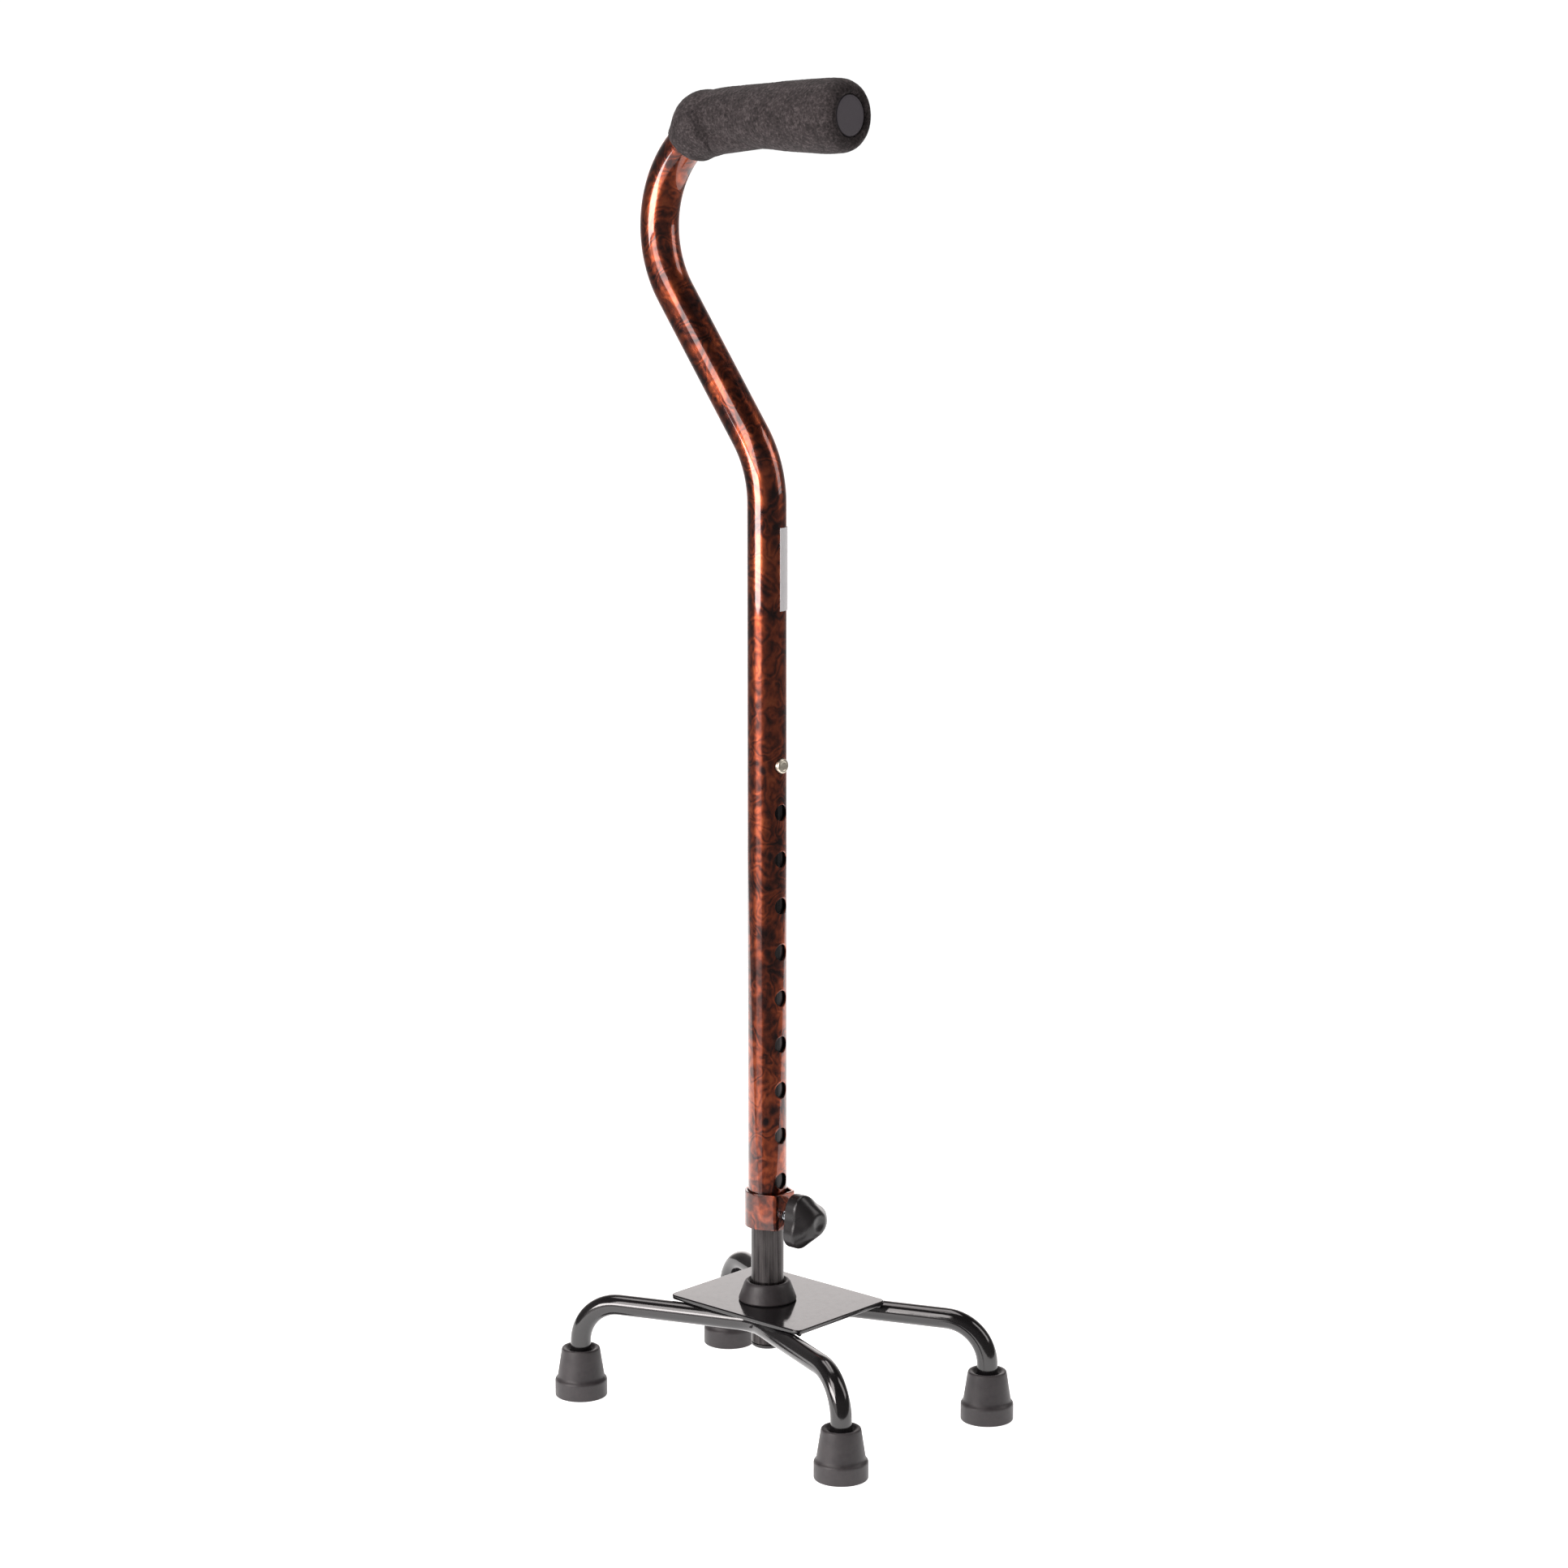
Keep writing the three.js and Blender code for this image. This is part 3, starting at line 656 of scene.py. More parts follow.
def burl_finish():
    """Copper and brown burl, darkly metallic, under clear lacquer."""
    coat = {"Metallic": 0.95, "Coat Weight": 1.0, "Coat Roughness": 0.03, "Coat IOR": 1.55}
    burl = Finish("burl_lacquer", coat)
    drift = burl.warped(burl.place((1, 1, 0.95)), 22, 13)
    swirl = burl.noise(drift, 14, detail=4, roughness=0.5)
    figure = burl.noise(drift, 15, detail=1, distortion=0.7)
    curl = burl.maths("PINGPONG", burl.maths("MULTIPLY", figure, 7), 0.5)
    grain = burl.noise(burl.warped(burl.place((1, 1, 0.7)), 9, 5), 3.6, detail=3, roughness=0.55)
    tone = burl.weighed((swirl, 0.56), (curl, 0.26), (grain, 0.31))
    colour = burl.ramp(tone, [
        (0.36, (0.034, 0.012, 0.011)),
        (0.44, (0.105, 0.026, 0.016)),
        (0.51, (0.220, 0.046, 0.021)),
        (0.58, (0.370, 0.076, 0.029)),
        (0.68, (0.500, 0.122, 0.045)),
    ])
    knot = burl.cells(burl.warped(burl.place((1, 1, 0.8)), 6, 3), 21)
    spots = burl.remap(knot, 0.06, 0.13, 0.85, 0)
    ring = burl.maths("MULTIPLY", burl.remap(knot, 0.16, 0.1, 0, 1), burl.remap(knot, 0.06, 0.1, 0, 0.5))
    colour = burl.mix(ring, colour, (0.26, 0.07, 0.035))
    colour = burl.mix(spots, colour, (0.016, 0.011, 0.014))
    return burl.wired(colour, burl.remap(grain, 0.3, 0.7, 0.27, 0.34), burl.bump(grain, 0.03, 0.3))


def gloss_black_finish():
    """Black powder paint with a wet gloss, faint orange peel and rubbed patches."""
    paint = Finish("gloss_black_paint", {"IOR": 1.72})
    place = paint.place()
    cloud = paint.noise(place, 25, detail=5)
    peel = paint.noise(place, 2.2, detail=2)
    rub = paint.noise(paint.place((1, 1, 0.2)), 4, detail=6, roughness=0.7)
    blacks = [(0.3, (0.006, 0.0055, 0.006)), (0.7, (0.012, 0.011, 0.012))]
    roughness = paint.remap(rub, 0.35, 0.75, 0.07, 0.2)
    return paint.wired(paint.ramp(cloud, blacks), roughness, paint.bump(peel, 0.03, 0.25))


def gunmetal_finish():
    """Dark anodised aluminium, drawn along its length."""
    metal = Finish("gunmetal_anodised", {"Metallic": 0.85})
    drawn = metal.noise(metal.place((1, 1, 0.02)), 1.3, detail=5, roughness=0.65)
    cloud = metal.noise(metal.place((1, 1, 0.3)), 9, detail=3)
    colour = metal.ramp(metal.weighed((drawn, 0.6), (cloud, 0.4)), [
        (0.38, (0.018, 0.016, 0.017)),
        (0.5, (0.050, 0.045, 0.045)),
        (0.64, (0.095, 0.087, 0.086)),
    ])
    return metal.wired(colour, metal.remap(drawn, 0.3, 0.7, 0.22, 0.36), metal.bump(drawn, 0.02, 0.3))


def rubber_finish():
    """Moulded rubber with a fine tooth, dusty where it has been handled."""
    rubber = Finish("ferrule_rubber", {"Specular IOR Level": 0.45, "Sheen Weight": 0.05})
    place = rubber.place()
    dust = rubber.noise(place, 9, detail=6, roughness=0.7)
    tooth = rubber.noise(place, 0.45, detail=3)
    blacks = [(0.3, (0.024, 0.021, 0.023)), (0.72, (0.048, 0.042, 0.044))]
    roughness = rubber.remap(dust, 0.3, 0.7, 0.36, 0.58)
    normal = rubber.bump(tooth, 0.06, 0.5, after=rubber.bump(dust, 0.25, 0.35))
    return rubber.wired(rubber.ramp(dust, blacks), roughness, normal)


def foam_finish():
    """Closed-cell foam: mottled charcoal with open pores, their pits painted darker as shade."""
    foam = Finish("grip_foam", {"Specular IOR Level": 0.25, "Sheen Weight": 0.04, "Sheen Roughness": 0.4})
    place = foam.place()
    pores = foam.cells(foam.warped(place, 2.5, 1.4), 1.9)
    cloud = foam.noise(place, 7, detail=5, roughness=0.6)
    grit = foam.noise(place, 1.5, detail=4, roughness=0.7)
    colour = foam.ramp(foam.weighed((grit, 0.7), (cloud, 0.3)), [
        (0.34, (0.014, 0.012, 0.012)),
        (0.5, (0.048, 0.040, 0.041)),
        (0.66, (0.120, 0.102, 0.104)),
    ])
    # Painted shade: the colour darkens towards each pore's middle, where its bump sinks into a pit.
    painted_pore_shade = foam.remap(pores, 0.05, 0.45, 1, 0)
    colour = foam.mix(foam.maths("MULTIPLY", painted_pore_shade, 0.55), colour, (0.014, 0.012, 0.013))
    normal = foam.bump(grit, 0.45, 0.8, after=foam.bump(pores, 0.5, 0.7))
    return foam.wired(colour, foam.remap(grit, 0.3, 0.7, 0.86, 1.0), normal)


def moulded_finish(name, dark, light, roughness, tooth):
    """Moulded plastic with a spark-eroded tooth, given as its size and depth, and faint flow marks."""
    plastic = Finish(name, {"IOR": 1.5})
    size, depth = tooth
    flow = plastic.noise(plastic.place((1, 1, 0.4)), 6, detail=4)
    colour = plastic.ramp(flow, [(0.3, dark), (0.7, light)])
    normal = plastic.bump(plastic.noise(plastic.place(), size, detail=2), depth, 0.4)
    return plastic.wired(colour, plastic.remap(flow, 0.3, 0.7, *roughness), normal)


def plated_finish(name, dark, light, roughness):
    """Bright plated or bare metal, with turning marks and faint tarnish."""
    metal = Finish(name, {"Metallic": 1.0})
    tarnish = metal.noise(metal.place(), 2.2, detail=6, roughness=0.65)
    turned = metal.noise(metal.place((0.3, 0.3, 1)), 0.35, detail=2)
    colour = metal.ramp(tarnish, [(0.3, dark), (0.65, light)])
    return metal.wired(colour, metal.remap(tarnish, 0.3, 0.7, *roughness), metal.bump(turned, 0.02, 0.3))


def paper_finish():
    """White label stock: fine fibres under a faint satin."""
    paper = Finish("label_paper", {"Specular IOR Level": 0.4})
    fibre = paper.noise(paper.place((1, 1, 0.25)), 0.5, detail=5, roughness=0.7)
    cloud = paper.noise(paper.place(), 8, detail=3)
    whites = [(0.3, (0.90, 0.90, 0.92)), (0.7, (0.96, 0.96, 0.97))]
    colour = paper.ramp(paper.weighed((fibre, 0.4), (cloud, 0.6)), whites)
    return paper.wired(colour, paper.remap(fibre, 0.3, 0.7, 0.5, 0.65), paper.bump(fibre, 0.03, 0.3))


FINISHES = {
    "bronze_tube": burl_finish(),
    "black_paint": gloss_black_finish(),
    "gunmetal_tube": gunmetal_finish(),
    "foot_rubber": rubber_finish(),
    "grip_foam": foam_finish(),
    "black_plastic": moulded_finish(
        "black_plastic", (0.010, 0.009, 0.0095), (0.018, 0.016, 0.017),
        roughness=(0.26, 0.32), tooth=(1.6, 0.005),
    ),
    "grey_plastic": moulded_finish(
        "grey_plastic", (0.070, 0.061, 0.075), (0.100, 0.088, 0.106),
        roughness=(0.5, 0.62), tooth=(0.5, 0.05),
    ),
    "nylon": moulded_finish(
        "natural_nylon", (0.62, 0.60, 0.54), (0.74, 0.72, 0.66), roughness=(0.4, 0.55), tooth=(0.8, 0.04),
    ),
    "zinc_steel": plated_finish("zinc_plate", (0.46, 0.50, 0.54), (0.78, 0.81, 0.85), (0.16, 0.34)),
    "spring_steel": plated_finish("spring_steel", (0.22, 0.23, 0.25), (0.46, 0.47, 0.49), (0.22, 0.42)),
    "button_metal": plated_finish("brassy_nickel", (0.60, 0.55, 0.44), (0.88, 0.83, 0.70), (0.28, 0.40)),
    "label_paper": paper_finish(),
}


def add_piece(node, surface, slot, sharp=35):
    """The fine piece that stands for a CAD node, riding on that node's body."""
    piece = surface.to_object(f"{node}_fine")
    mesh = piece.data
    whole = bmesh.new()
    whole.from_mesh(mesh)
    bmesh.ops.recalc_face_normals(whole, faces=whole.faces)
    whole.to_mesh(mesh)
    whole.free()
    mesh.polygons.foreach_set("use_smooth", [True] * len(mesh.polygons))
    mesh.set_sharp_from_angle(angle=math.radians(sharp))
    mesh.materials.append(FINISHES[slot])
    normals = piece.modifiers.new("flat_faces_stay_flat", "WEIGHTED_NORMAL")
    normals.keep_sharp = True
    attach(piece, BODY_OF[node])
    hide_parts(node)
    return piece


# ---- Base

def leg_line():
    """The right-hand leg tube's line, from the back foot up, under the plate and down to the front foot."""
    arm = Vector((FOOT_X, FOOT_Y - LEG_VERTEX_Y, 0))
    arm_angle = math.atan2(arm.y, arm.x)
    riser = LEG_AXIS_HEIGHT - LEG_DOWN_BEND - LEG_END
    straight = arm.length - LEG_DOWN_BEND - LEG_VERTEX_BEND * math.tan(arm_angle)
    foot = Vector((-FOOT_X, -FOOT_Y, LEG_END))
    line = Centreline(foot, -arm.normalized(), Vector((0, 0, 1)))
    line.straight(riser).pitch(LEG_DOWN_BEND, math.pi / 2)
    line.straight(straight).yaw(LEG_VERTEX_BEND, -2 * arm_angle).straight(straight)
    return line.pitch(LEG_DOWN_BEND, math.pi / 2).straight(riser)


def bent_tube(line, outer, inner, sides):
    stations = steps_between(EDGE_EASE, line.length - EDGE_EASE, RING_STEP)
    wall = outer - inner
    start = [(outer - wall * share, EDGE_EASE * lift) for share, lift in reversed(RIM)]
    end = [(outer - wall * share, line.length - EDGE_EASE * lift) for share, lift in RIM]
    profile = start[:-1] + [(outer, station) for station in stations]
    profile += end[1:] + [(inner, station) for station in reversed(stations[1:-1])]
    return revolve(profile, sides, line.place, ring=True)


def weld_bead(radius, length, place):
    """A bead with round ends and the ripples that a torch leaves."""
    ripple, round_length = 1.3, 1.6
    inset, step = 0.15, 0.22
    half = length / 2
    profile = [(0, -half)]
    for height in steps_between(inset - half, half - inset, step):
        into_end = max(0, (abs(height) - half) / round_length + 1)
        wave = 0.92 + 0.0828 * abs(math.sin(math.pi * height / ripple))
        profile.append((radius * wave * math.sqrt(max(0.05, 1 - into_end ** 2)), height))
    profile.append((0, half))

    def wobble(reach, height, angle):
        return 0.08 * noise.noise(polar(1, angle, height))

    return revolve(profile, 20, place, swell=wobble)


def foot_profile():
    """A ferrule: grooved sole, tread band, tapered body, and a rim with a funnel down to the leg."""
    socket = LEG_RADIUS + GAP
    top = FOOT_HEIGHT
    corners = [(0, 0, 0), (2.4, 0, 0.2), (2.9, 0.9, 0.2), (3.9, 0.9, 0.2)]
    for groove in (4.4, 7.4, 10.4):
        corners += [
            (groove, 0, 0.2), (groove + 1.6, 0, 0.2), (groove + 2.0, 0.9, 0.2), (groove + 2.6, 0.9, 0.2),
        ]
    corners += [
        (13.2, 0, 0.2),
        (FOOT_RADIUS, 0, 0.9),
        (FOOT_RADIUS, 9.6, 1.0),
        (13.7, 10.7, 0.5),
        (13.25, 11.6, 1.0),
        (10.95, top - 1.5, 1.0),
        (10.6, top, 0.9),
        (8.6, top, 0.8),
        (7.3, top - 1.2, 0.5),
        (socket, top - 2.0, 0.4),
        (socket, 7, 0.2), (0, 7, 0),
    ]
    return eased(corners)


def washer_profile(bottom, top):
    return eased([(0, bottom, 0), (LEG_RADIUS, bottom, 0.3), (LEG_RADIUS, top, 0.3), (0, top, 0)], 3)


def rounded_outline(half_x, half_y, corner, steps=12):
    """A rectangle's outline with round corners, from its forward left corner round."""
    outline = []
    for turn, (x, y) in enumerate([(1, 1), (-1, 1), (-1, -1), (1, -1)]):
        middle = Vector((x * (half_x - corner), y * (half_y - corner), 0))
        for step in range(steps + 1):
            outline.append(middle + polar(corner, math.pi / 2 * (turn + step / steps)))
    return outline


def filled_edges(outline, step):
    """The outline with points added so that no edge is longer than a step."""
    filled = []
    for first, second in zip(outline, outline[1:] + outline[:1]):
        count = max(1, math.ceil((second - first).length / step))
        filled += [first.lerp(second, i / count) for i in range(count)]
    return filled


def plate_surface():
    """The plate: an eased edge outside and an eased hole round the post."""
    half = half_of("base_plate")
    centre = centre_of("base_plate")
    hole_place = POST_AXIS - Vector((centre.x, centre.y, 0))
    hole_radius = POST_RADIUS + GAP

    def outline_at(inset, height):
        rounded = rounded_outline(half.x - inset, half.y - inset, PLATE_CORNER - inset)
        return [Vector((*point.xy, height)) for point in filled_edges(rounded, PLATE_STEP)]

    bearings = [math.atan2(*(point - hole_place).yx) for point in outline_at(0, 0)]

    def hole_at(wider, height):
        return [hole_place + polar(hole_radius + wider, bearing, height) for bearing in bearings]

    edge = [
        (PLATE_EASE * (1 - math.sin(angle)), half.z - PLATE_EASE * (1 - math.cos(angle)))
        for angle in (0, math.pi / 6, math.pi / 3, math.pi / 2)
    ]
    rings = [outline_at(inset, -height) for inset, height in edge]
    rings += [outline_at(inset, height) for inset, height in reversed(edge)]
    rings += [hole_at(PLATE_HOLE_EASE, half.z), hole_at(0, half.z - PLATE_HOLE_EASE)]
    rings += [hole_at(0, PLATE_HOLE_EASE - half.z), hole_at(PLATE_HOLE_EASE, -half.z)]
    surface = Surface()
    surface.bridge_all([surface.add_loop(ring, at_point(centre)) for ring in rings], ring=True)
    return surface


def make_base():
    add_piece("base_plate", plate_surface(), "black_paint", sharp=50)
    line = leg_line()
    washer_bottom, washer_top = heights_of("foot_washer_front_right")
    weld_height = heights_of("base_plate")[0] - GAP - LEG_WELD_RADIUS - LEG_AXIS_HEIGHT
    beside = Vector((LEG_WELD_OFFSET, weld_height, 0))
    for side, angle in (("right", 0), ("left", math.pi)):
        turn = Matrix.Rotation(angle, 4, "Z")
        tube = bent_tube(line, LEG_RADIUS, LEG_BORE, LEG_SIDES)
        tube.points = [turn @ point for point in tube.points]
        add_piece(f"leg_tube_{side}", tube, "black_paint")
        for end in (-1, 1):
            front = (end > 0) == (side == "right")
            name = f"{'front' if front else 'rear'}_{side}"
            foot = turn @ Vector((end * FOOT_X, -FOOT_Y, 0))
            add_piece(f"foot_{name}", revolve(foot_profile(), 96, at_point(foot)), "foot_rubber", sharp=50)
            washer = revolve(washer_profile(washer_bottom, washer_top), 48, at_point(foot))
            add_piece(f"foot_washer_{name}", washer, "zinc_steel")
            spot = turn @ line.frame_at(line.length / 2 + end * LEG_WELD_ALONG)
            bead = weld_bead(LEG_WELD_RADIUS, LEG_WELD_LENGTH, in_frame(spot, beside))
            add_piece(f"leg_weld_{name}", bead, "black_paint")


# ---- Post

def ribs(root, crest, first, pitch, half):
    """Three ribs up a stem, or grooves where the crest is inside the root, as corners of a profile."""
    corners = []
    for rib in range(3):
        height = first + rib * pitch
        corners += [(root, height - half, 0.1), (crest, height, 0.2), (root, height + half, 0.1)]
    return corners


def plug_profile(low, seat, stem, top):
    """The plug in the post's lower end: a domed head below and a ribbed stem above."""
    return eased([
        (0, low, 0), (POST_RADIUS - 1.6, low, 0.5),
        (POST_RADIUS, low + 1.1, 0.6),
        (POST_RADIUS, seat, 0.2),
        (stem, seat, 0.1),
        *ribs(stem - 0.5, stem, seat + 3, 3.4, 0.8),
        (stem - 0.5, top - 1, 0.2),
        (stem - 1.5, top, 0.4), (0, top, 0),
    ], 3)


def post_weld_profile():
    """The weld between post and plate: a hollow fillet."""
    low, high = heights_of("post_weld")
    inner = POST_RADIUS + GAP
    outer = half_of("post_weld").x
    return eased([(inner, low, 0), (outer, low, 0.2), (inner + 0.7, low + 0.8, 1), (inner, high, 0)], 4)


def boot_profile():
    """The boot: a cone with a round shoulder, and a funnel down to the post."""
    low, high = heights_of("post_boot")
    outer = half_of("post_boot").x
    bore = POST_RADIUS + GAP
    recess = half_of("post_weld").x + GAP
    weld_top = heights_of("post_weld")[1] + GAP
    return eased([
        (recess, low, 0.1),
        (outer - 0.5, low, 0.2),
        (outer, low + 0.6, 0.5),
        (12.95, high - 1.2, 1.5),
        (12.0, high, 0.9),
        (10.9, high, 0.6),
        (bore + 0.2, high - 1.5, 0.5),
        (bore, high - 3, 0.3),
        (bore, weld_top + 1, 0.3),
        (recess, weld_top, 0.3),
        (recess, low, 0.1),
    ])[:-1]


def button_profile():
    """The snap button: a flange inside the post, and an eased, slightly dished face."""
    back, tip = reach_of("snap_button")
    flange = half_of("snap_button").y
    radius = HOLE_RADIUS - GAP
    return eased([
        (0, back, 0), (flange, back, 0.25),
        (flange, back + 1, 0.25),
        (radius, back + 1, 0.2),
        (radius, tip - 0.1, 1.2),
        (radius - 1.5, tip, 0.3),
        (radius - 1.8, tip - 0.15, 0.2),
        (0, tip - 0.2, 0),
    ], 6)


def spring_surface():
    """A flat strip with eased edges, bent into a U."""
    thickness, ease, step = 0.8, 0.3, 1.2
    half = half_of("button_spring")
    radius = half.x - thickness / 2
    arm = 2 * half.z - half.x
    high = box_of("button_spring")[1]
    start = Vector((high.x - thickness / 2, POST_AXIS.y, high.z))
    line = Centreline(start, Vector((1, 0, 0)), Vector((0, 0, -1)))
    line.straight(arm).pitch(radius, math.pi).straight(arm)
    x, y = half.y, thickness / 2
    corners = [(x, y, ease), (-x, y, ease), (-x, -y, ease), (x, -y, ease)]
    section = eased([(x, 0, 0), *corners, (x, 0, 0)])[:-1]
    surface = Surface()
    loops = []
    for distance in steps_between(0, line.length, step):
        spots = [Vector((*spot, distance)) for spot in section]
        back_to_start = Vector((0, 0, -distance))
        loops.append(surface.add_loop(spots, in_frame(line.frame_at(distance), back_to_start)))
    surface.bridge_all(loops)
    surface.faces.append(tuple(reversed(loops[0])))
    surface.faces.append(tuple(loops[-1]))
    return surface


def guide_profile():
    """The guide plug: a ribbed stem in the post, below a flange that the handle tube slides on."""
    low, high = heights_of("guide_plug")
    flange = half_of("guide_plug").x
    seat = POST_TOP + GAP
    stem = POST_BORE - GAP
    return eased([
        (0, low, 0), (stem - 1.4, low, 0.3),
        (stem - 0.4, low + 1.2, 0.3),
        *ribs(stem - 0.4, stem, low + 3.2, 3.2, 0.7),
        (stem - 0.4, seat, 0.1),
        (flange, seat, 0.2),
        (flange, high - 0.9, 0.5),
        (flange - 0.9, high, 0.5),
        (5.2, high, 0.3),
        (4.6, high - 1.4, 0.4), (0, high - 1.4, 0),
    ], 3)


def make_post():
    button_hole = cross_hole(BUTTON_HEIGHT, HOLE_RADIUS, 5, 1)
    post = tube_wall(POST_RADIUS, POST_BORE, POST_BOTTOM, POST_TOP, [button_hole], on_post, step=6)
    add_piece("post_tube", post, "gunmetal_tube")
    plug_low, plug_high = heights_of("post_bottom_plug")
    plug = plug_profile(plug_low, POST_BOTTOM - GAP, POST_BORE - GAP, plug_high)
    add_piece("post_bottom_plug", revolve(plug, 72, on_post), "black_plastic")

    def ripple(radius, height, angle):
        return (radius - POST_RADIUS - GAP) * 0.12 * math.sin(34 * angle)

    weld = revolve(post_weld_profile(), 136, on_post, ring=True, swell=ripple)
    add_piece("post_weld", weld, "black_paint")
    add_piece("post_boot", revolve(boot_profile(), 120, on_post, ring=True), "foot_rubber", sharp=50)
    add_piece("button_spring", spring_surface(), "spring_steel")
    button = revolve(button_profile(), 64, out_of_post(BUTTON_HEIGHT))
    add_piece("snap_button", button, "button_metal")
    add_piece("guide_plug", revolve(guide_profile(), 72, on_post), "nylon")


# ---- Handle

handle_line = Centreline(POST_AXIS + Vector((0, 0, TUBE_BOTTOM)), Vector((-1, 0, 0)), Vector((0, 0, 1)))
handle_line.straight(NECK_START - TUBE_BOTTOM).pitch(NECK_BEND, -NECK_ANGLE)
handle_line.straight(NECK_LENGTH).pitch(BACK_BEND, math.pi / 2 + NECK_ANGLE - HANDLE_RISE)
handle_line.straight(HANDLE_LENGTH)

# The grip along its length: distance from its back end, radius, and how far it is set towards the outside.
GRIP_PROFILE = [
    (0, 12.2, 0),
    (4, 14.2, -0.6),
    (8, 15.8, 0.2),
    (12, 17.1, 0.9),
    (16, 17.9, 1.0),
    (20, 18.1, 0.8),
    (23, 17.6, 0.6),
    (25.5, 16.3, 1.0),
    (28, 15.0, 1.4),
    (32, 14.8, 1.4),
    (40, 15.3, 1.0),
    (50, 16.3, 0.55),
    (60, 17.0, 0.3),
    (80, 18.4, 0.1),
    (100, 19.4, 0),
    (108, 19.5, 0),
    (114.5, 19.1, 0),
    (118, 17.9, 0),
    (119.8, 16.4, 0),
    (GRIP_LENGTH - 0.4, 15.0, 0),
]


def smooth_between(rows, step):
    """Rows of numbers joined by a smooth curve, sampled about a step apart in their first two numbers."""
    rows = [Vector(row) for row in rows]
    sampled = []
    for i, (start, end) in enumerate(zip(rows, rows[1:])):
        bend_in = (end - rows[max(0, i - 1)]) / 2
        bend_out = (rows[min(len(rows) - 1, i + 2)] - start) / 2
        count = max(1, round((end - start).xy.length / step))
        for k in range(count):
            t = k / count
            sampled.append(
                start * (2 * t ** 3 - 3 * t ** 2 + 1) + bend_in * (t ** 3 - 2 * t ** 2 + t)
                + end * (3 * t ** 2 - 2 * t ** 3) + bend_out * (t ** 3 - t ** 2)
            )
    return [*sampled, rows[-1]]


def foam_relief(local):
    """The unevenness of cut and ground foam."""
    coarse = noise.noise(local * 0.12)
    cells = noise.noise(local * 0.85)
    fine = noise.noise(local * 1.7)
    return 0.16 * coarse + 0.11 * cells + 0.07 * fine


def grip_surface():
    start = handle_line.length + GRIP_OVERHANG - GRIP_LENGTH
    rings = []
    for along, radius, offset in smooth_between(GRIP_PROFILE, GRIP_STEP):
        ring = []
        for spot in circle(radius, start + along, GRIP_SIDES):
            swell = 1 + foam_relief(spot) / radius
            ring.append(Vector((spot.x * swell - offset, spot.y * swell, spot.z)))
        rings.append(ring)
    front_lip = [(13.8, 0.1), (12.7, 0.25), (11.8, 0.8), (11.2, 1.8), (GRIP_FRONT_BORE, 2.9)]
    inside = [(radius, GRIP_LENGTH - sunk) for radius, sunk in front_lip]
    inside += [(GRIP_BORE, GRIP_LENGTH - 5), (GRIP_BORE, 1.4), (11.4, 0.4)]
    rings += [circle(radius, start + along, GRIP_SIDES) for radius, along in inside]
    surface = Surface()
    surface.bridge_all([surface.add_loop(ring, handle_line.place) for ring in rings], ring=True)
    return surface


def handle_plug_profile():
    """The end plug: a grooved stem in the tube and a flat, lipped head."""
    stem = TUBE_BORE - GAP
    head = GRIP_FRONT_BORE - 0.05
    depth = 12
    return eased([
        (0, -depth, 0), (stem - 1, -depth, 0.3),
        (stem, 1 - depth, 0.3),
        *ribs(stem, stem - 0.5, 3 - depth, 3, 0.6),
        (stem, 0.3, 0.1),
        (head, 0.3, 0.1),
        (head, 1.6, 0.5),
        (head - 0.6, 2.1, 0.4),
        (head - 1.3, 1.95, 0.4),
        (head - 3.5, 1.9, 1),
        (0, 2.0, 0),
    ], 4)


def label_surface():
    """A blank paper label wrapped part of the way round the tube."""
    low, high = heights_of("label")
    turns = steps_between(LABEL_START, LABEL_END, LABEL_STEP)
    section = [(LABEL_OUTER, turn) for turn in turns] + [(LABEL_INNER, turn) for turn in reversed(turns)]
    surface = Surface()
    loops = []
    for height in steps_between(low, high, 3):
        loop = [polar(radius, turn, height) for radius, turn in section]
        loops.append(surface.add_loop(loop, on_post))
    surface.bridge_all(loops)
    last = len(section) - 1
    for loop in (loops[0], loops[-1]):
        for i in range(len(turns) - 1):
            surface.faces.append((loop[i], loop[i + 1], loop[last - 1 - i], loop[last - i]))
    return surface


def resampled(outline, count):
    """A closed outline's points, evenly spaced from its first one."""
    ends = outline[1:] + outline[:1]
    lengths = [(end - start).length for start, end in zip(outline, ends)]
    points = []
    edge, walked = 0, 0.0
    for i in range(count):
        target = sum(lengths) * i / count
        while walked + lengths[edge] < target - TINY:
            walked += lengths[edge]
            edge += 1
        points.append(outline[edge].lerp(ends[edge], (target - walked) / lengths[edge]))
    return points


def strap_skin(radius, nose, nose_half, ease):
    """A strap's section: round at the back, with straight sides that run to its flat nose."""
    steps = 72
    tangent = math.atan2(nose_half, nose) + math.acos(radius / math.hypot(nose, nose_half))
    half = eased([(nose, 0, 0), (nose, nose_half, ease), (*polar(radius, tangent).xy, 0)], 8)
    sweep = 2 * (math.pi - tangent)
    back = [polar(radius, tangent + sweep * i / steps).xy for i in range(1, steps)]
    mirrored = [Vector((spot.x, -spot.y)) for spot in reversed(half[1:])]
    return Skin(resampled(half + back + mirrored, COLLAR_COLUMNS), lambda y: nose)


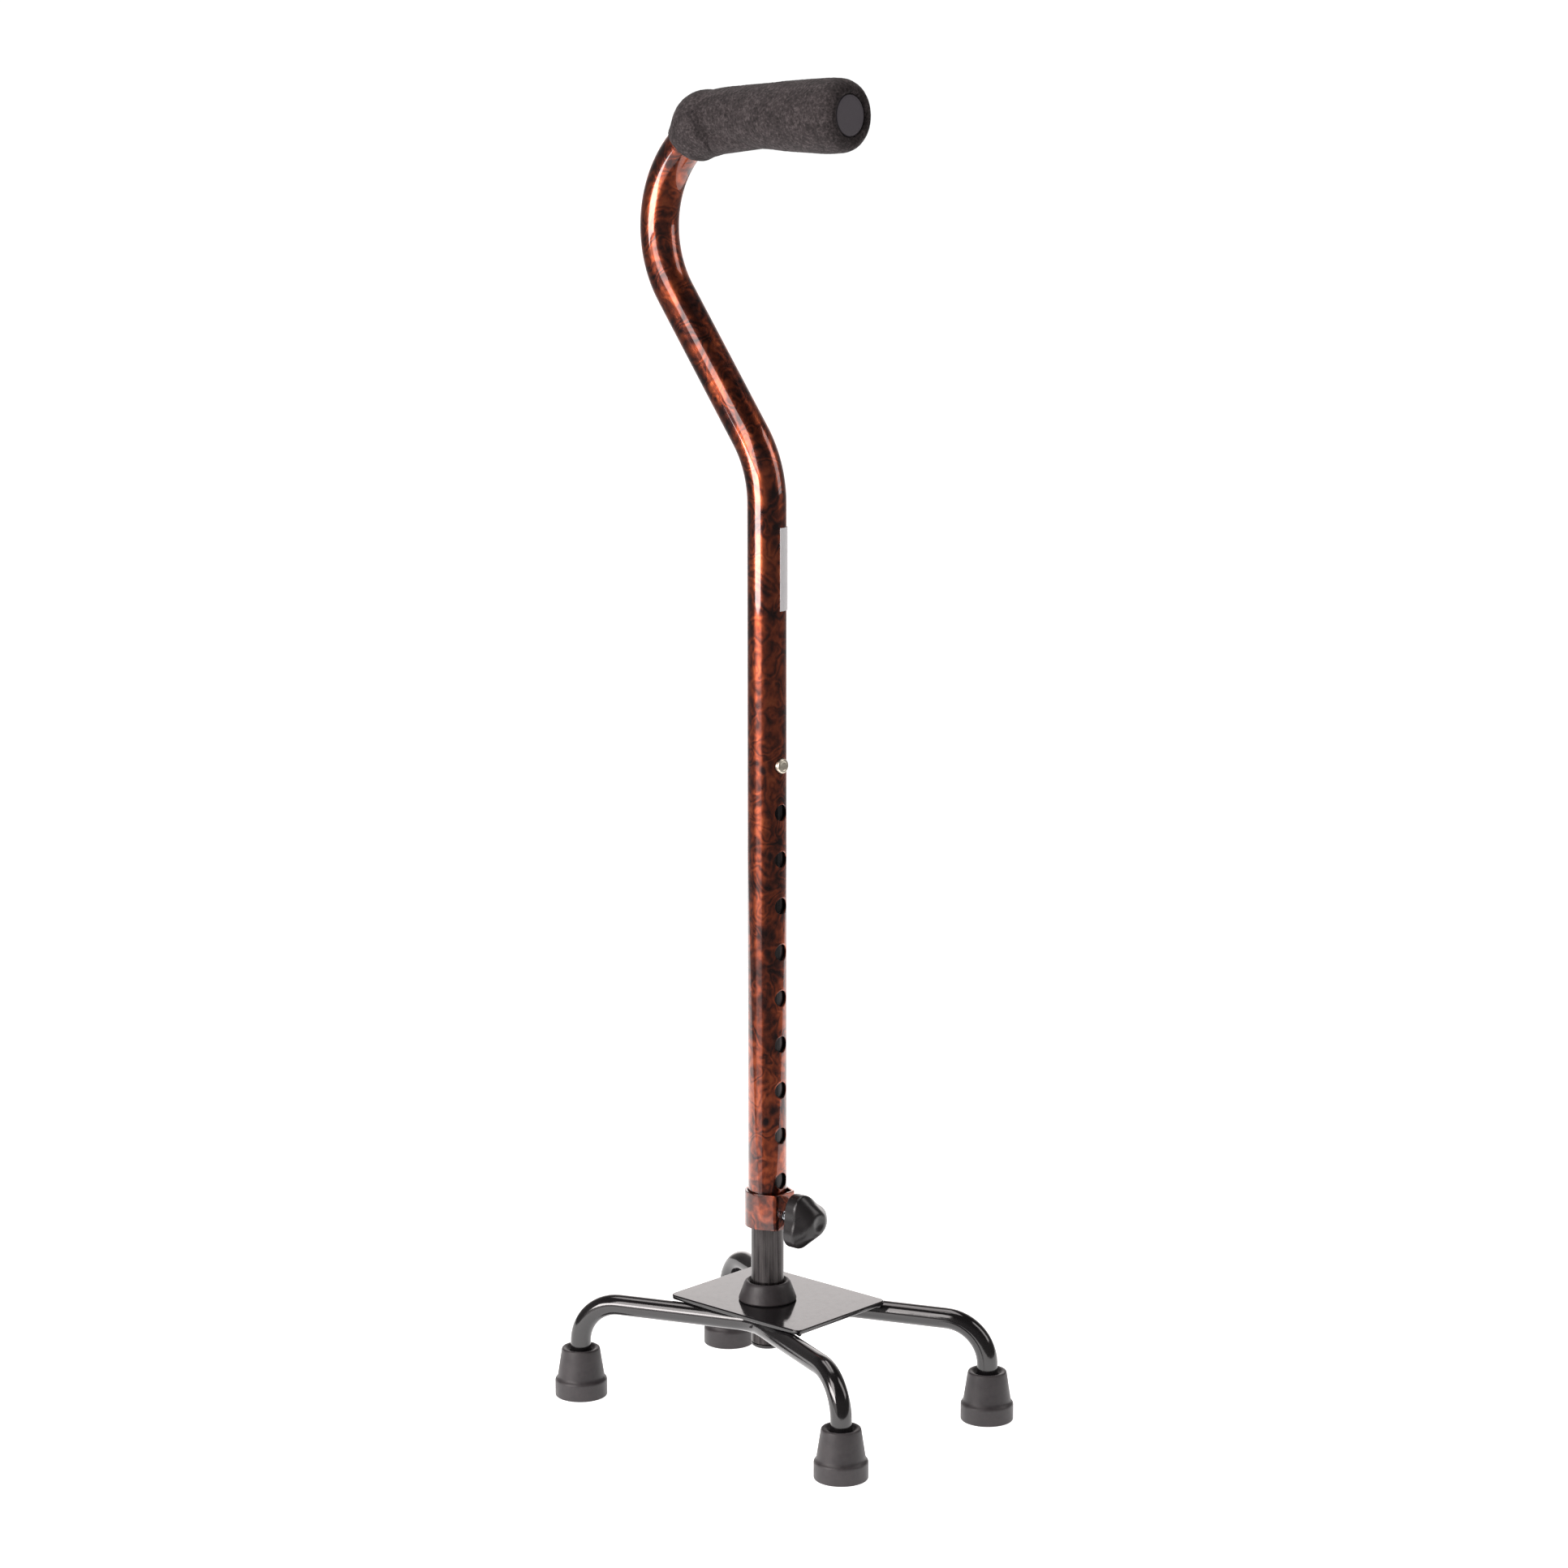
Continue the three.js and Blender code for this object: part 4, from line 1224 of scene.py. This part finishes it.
def collar_surface():
    low, high = heights_of("collar")
    outer_radius = COLLAR_BORE + COLLAR_THICKNESS
    inner_nose = COLLAR_NOSE - COLLAR_THICKNESS
    inner_half = COLLAR_NOSE_HALF - COLLAR_THICKNESS * 0.8
    skins = [
        strap_skin(outer_radius, COLLAR_NOSE, COLLAR_NOSE_HALF, 1.8),
        strap_skin(COLLAR_BORE, inner_nose, inner_half, 0.8),
    ]
    hole = cross_hole(SCREW_HEIGHT, SCREW_HOLE_RADIUS, 4.2, 1, COLLAR_COLUMNS, 7)
    heights = rows_with_patches(low + COLLAR_EASE, high - COLLAR_EASE, [hole], 1, patch_rows=14)
    return PiercedWall(skins, heights, [hole], on_post, COLLAR_EASE).surface


def handle_tube_surface():
    """The handle tube, its heights counted from its own lower end along the line."""
    half = 5.65
    holes = [
        cross_hole(HOLE_LOWEST + i * HOLE_PITCH - TUBE_BOTTOM, HOLE_RADIUS, half, side)
        for i in range(HOLE_COUNT)
        for side in (1, -1)
    ]
    holes.append(cross_hole(SCREW_HEIGHT - TUBE_BOTTOM, SCREW_HOLE_RADIUS, 5.2, 1))
    return tube_wall(TUBE_RADIUS, TUBE_BORE, 0, handle_line.length, holes, handle_line.place)


def make_handle():
    add_piece("upper_tube", handle_tube_surface(), "bronze_tube")
    grip = add_piece("foam_grip", grip_surface(), "grip_foam", sharp=80)
    plug = revolve(handle_plug_profile(), 96, in_frame(handle_line.end))
    add_piece("handle_plug", plug, "grey_plastic")
    add_piece("label", label_surface(), "label_paper")
    add_piece("collar", collar_surface(), "bronze_tube")


# ---- Screw and knob

def screw_surface():
    """The locking screw: a cut thread all the way, with a tapered tip."""
    tip, end = reach_of("knob_screw")
    thread_depth = 0.42
    sides = 40

    def thread(radius, height, angle):
        phase = (height / SCREW_PITCH - angle / FULL_TURN) % 1
        ridge = 1 - min(1, max(0, abs(2 * phase - 1) * 1.35 - 0.12))
        taper = min(1, (height - tip) / 0.8)
        return thread_depth * (ridge - 1) - 0.5 * (1 - taper) * (radius > 1)

    profile = [(0, tip)] + [(SCREW_RADIUS, height) for height in steps_between(tip + 0.01, end, 0.11)]
    profile.append((0, end))
    return revolve(profile, sides, out_of_post(SCREW_HEIGHT), swell=thread)


def knob_surface():
    """Three soft lobes drawn out of a round knob, with a skirt, a sloping front and a dished face."""
    back, front = reach_of("knob")
    bore = SCREW_RADIUS + GAP
    bore_end = reach_of("knob_screw")[1] + GAP
    skirt = back + 1.5
    rim = KNOB_MEAN_RADIUS
    profile = eased([
        (0, bore_end, 0), (bore, bore_end, 0.2),
        (bore, back, 0.3),
        (KNOB_HUB_RADIUS, back, 0.4),
        (KNOB_HUB_RADIUS, skirt + 0.4, 0.3),
        (rim - 2.0, skirt + 0.4, 0.4),
        (rim - 1.4, skirt, 0.4),
        (rim, skirt, 0.8),
        (rim, skirt + 7.0, 1.1),
        (KNOB_HUB_RADIUS + 1.5, front - 1.5, 3.4),
        (KNOB_HUB_RADIUS - 1.5, front, 1.6),
        (1.6, front - 0.9, 1.2),
        (0, front - 1.0, 0),
    ], 7)

    def lobes(radius, height, angle):
        share = max(0, (radius - KNOB_HUB_RADIUS) / (KNOB_MEAN_RADIUS - KNOB_HUB_RADIUS))
        around = angle - math.pi / 2 - KNOB_TURNED
        return KNOB_LOBE * share * math.cos(KNOB_LOBES * around)

    return revolve(profile, 180, out_of_post(SCREW_HEIGHT), swell=lobes)


def make_screw_and_knob():
    add_piece("knob_screw", screw_surface(), "zinc_steel", sharp=60)
    add_piece("knob", knob_surface(), "black_plastic", sharp=60)


# ---- Everything

make_camera()
make_world()
make_floor()
for softbox in SOFTBOXES:
    make_softbox(*softbox)
bpy.context.scene.view_settings.view_transform = "Standard"
make_base()
make_post()
make_handle()
make_screw_and_knob()
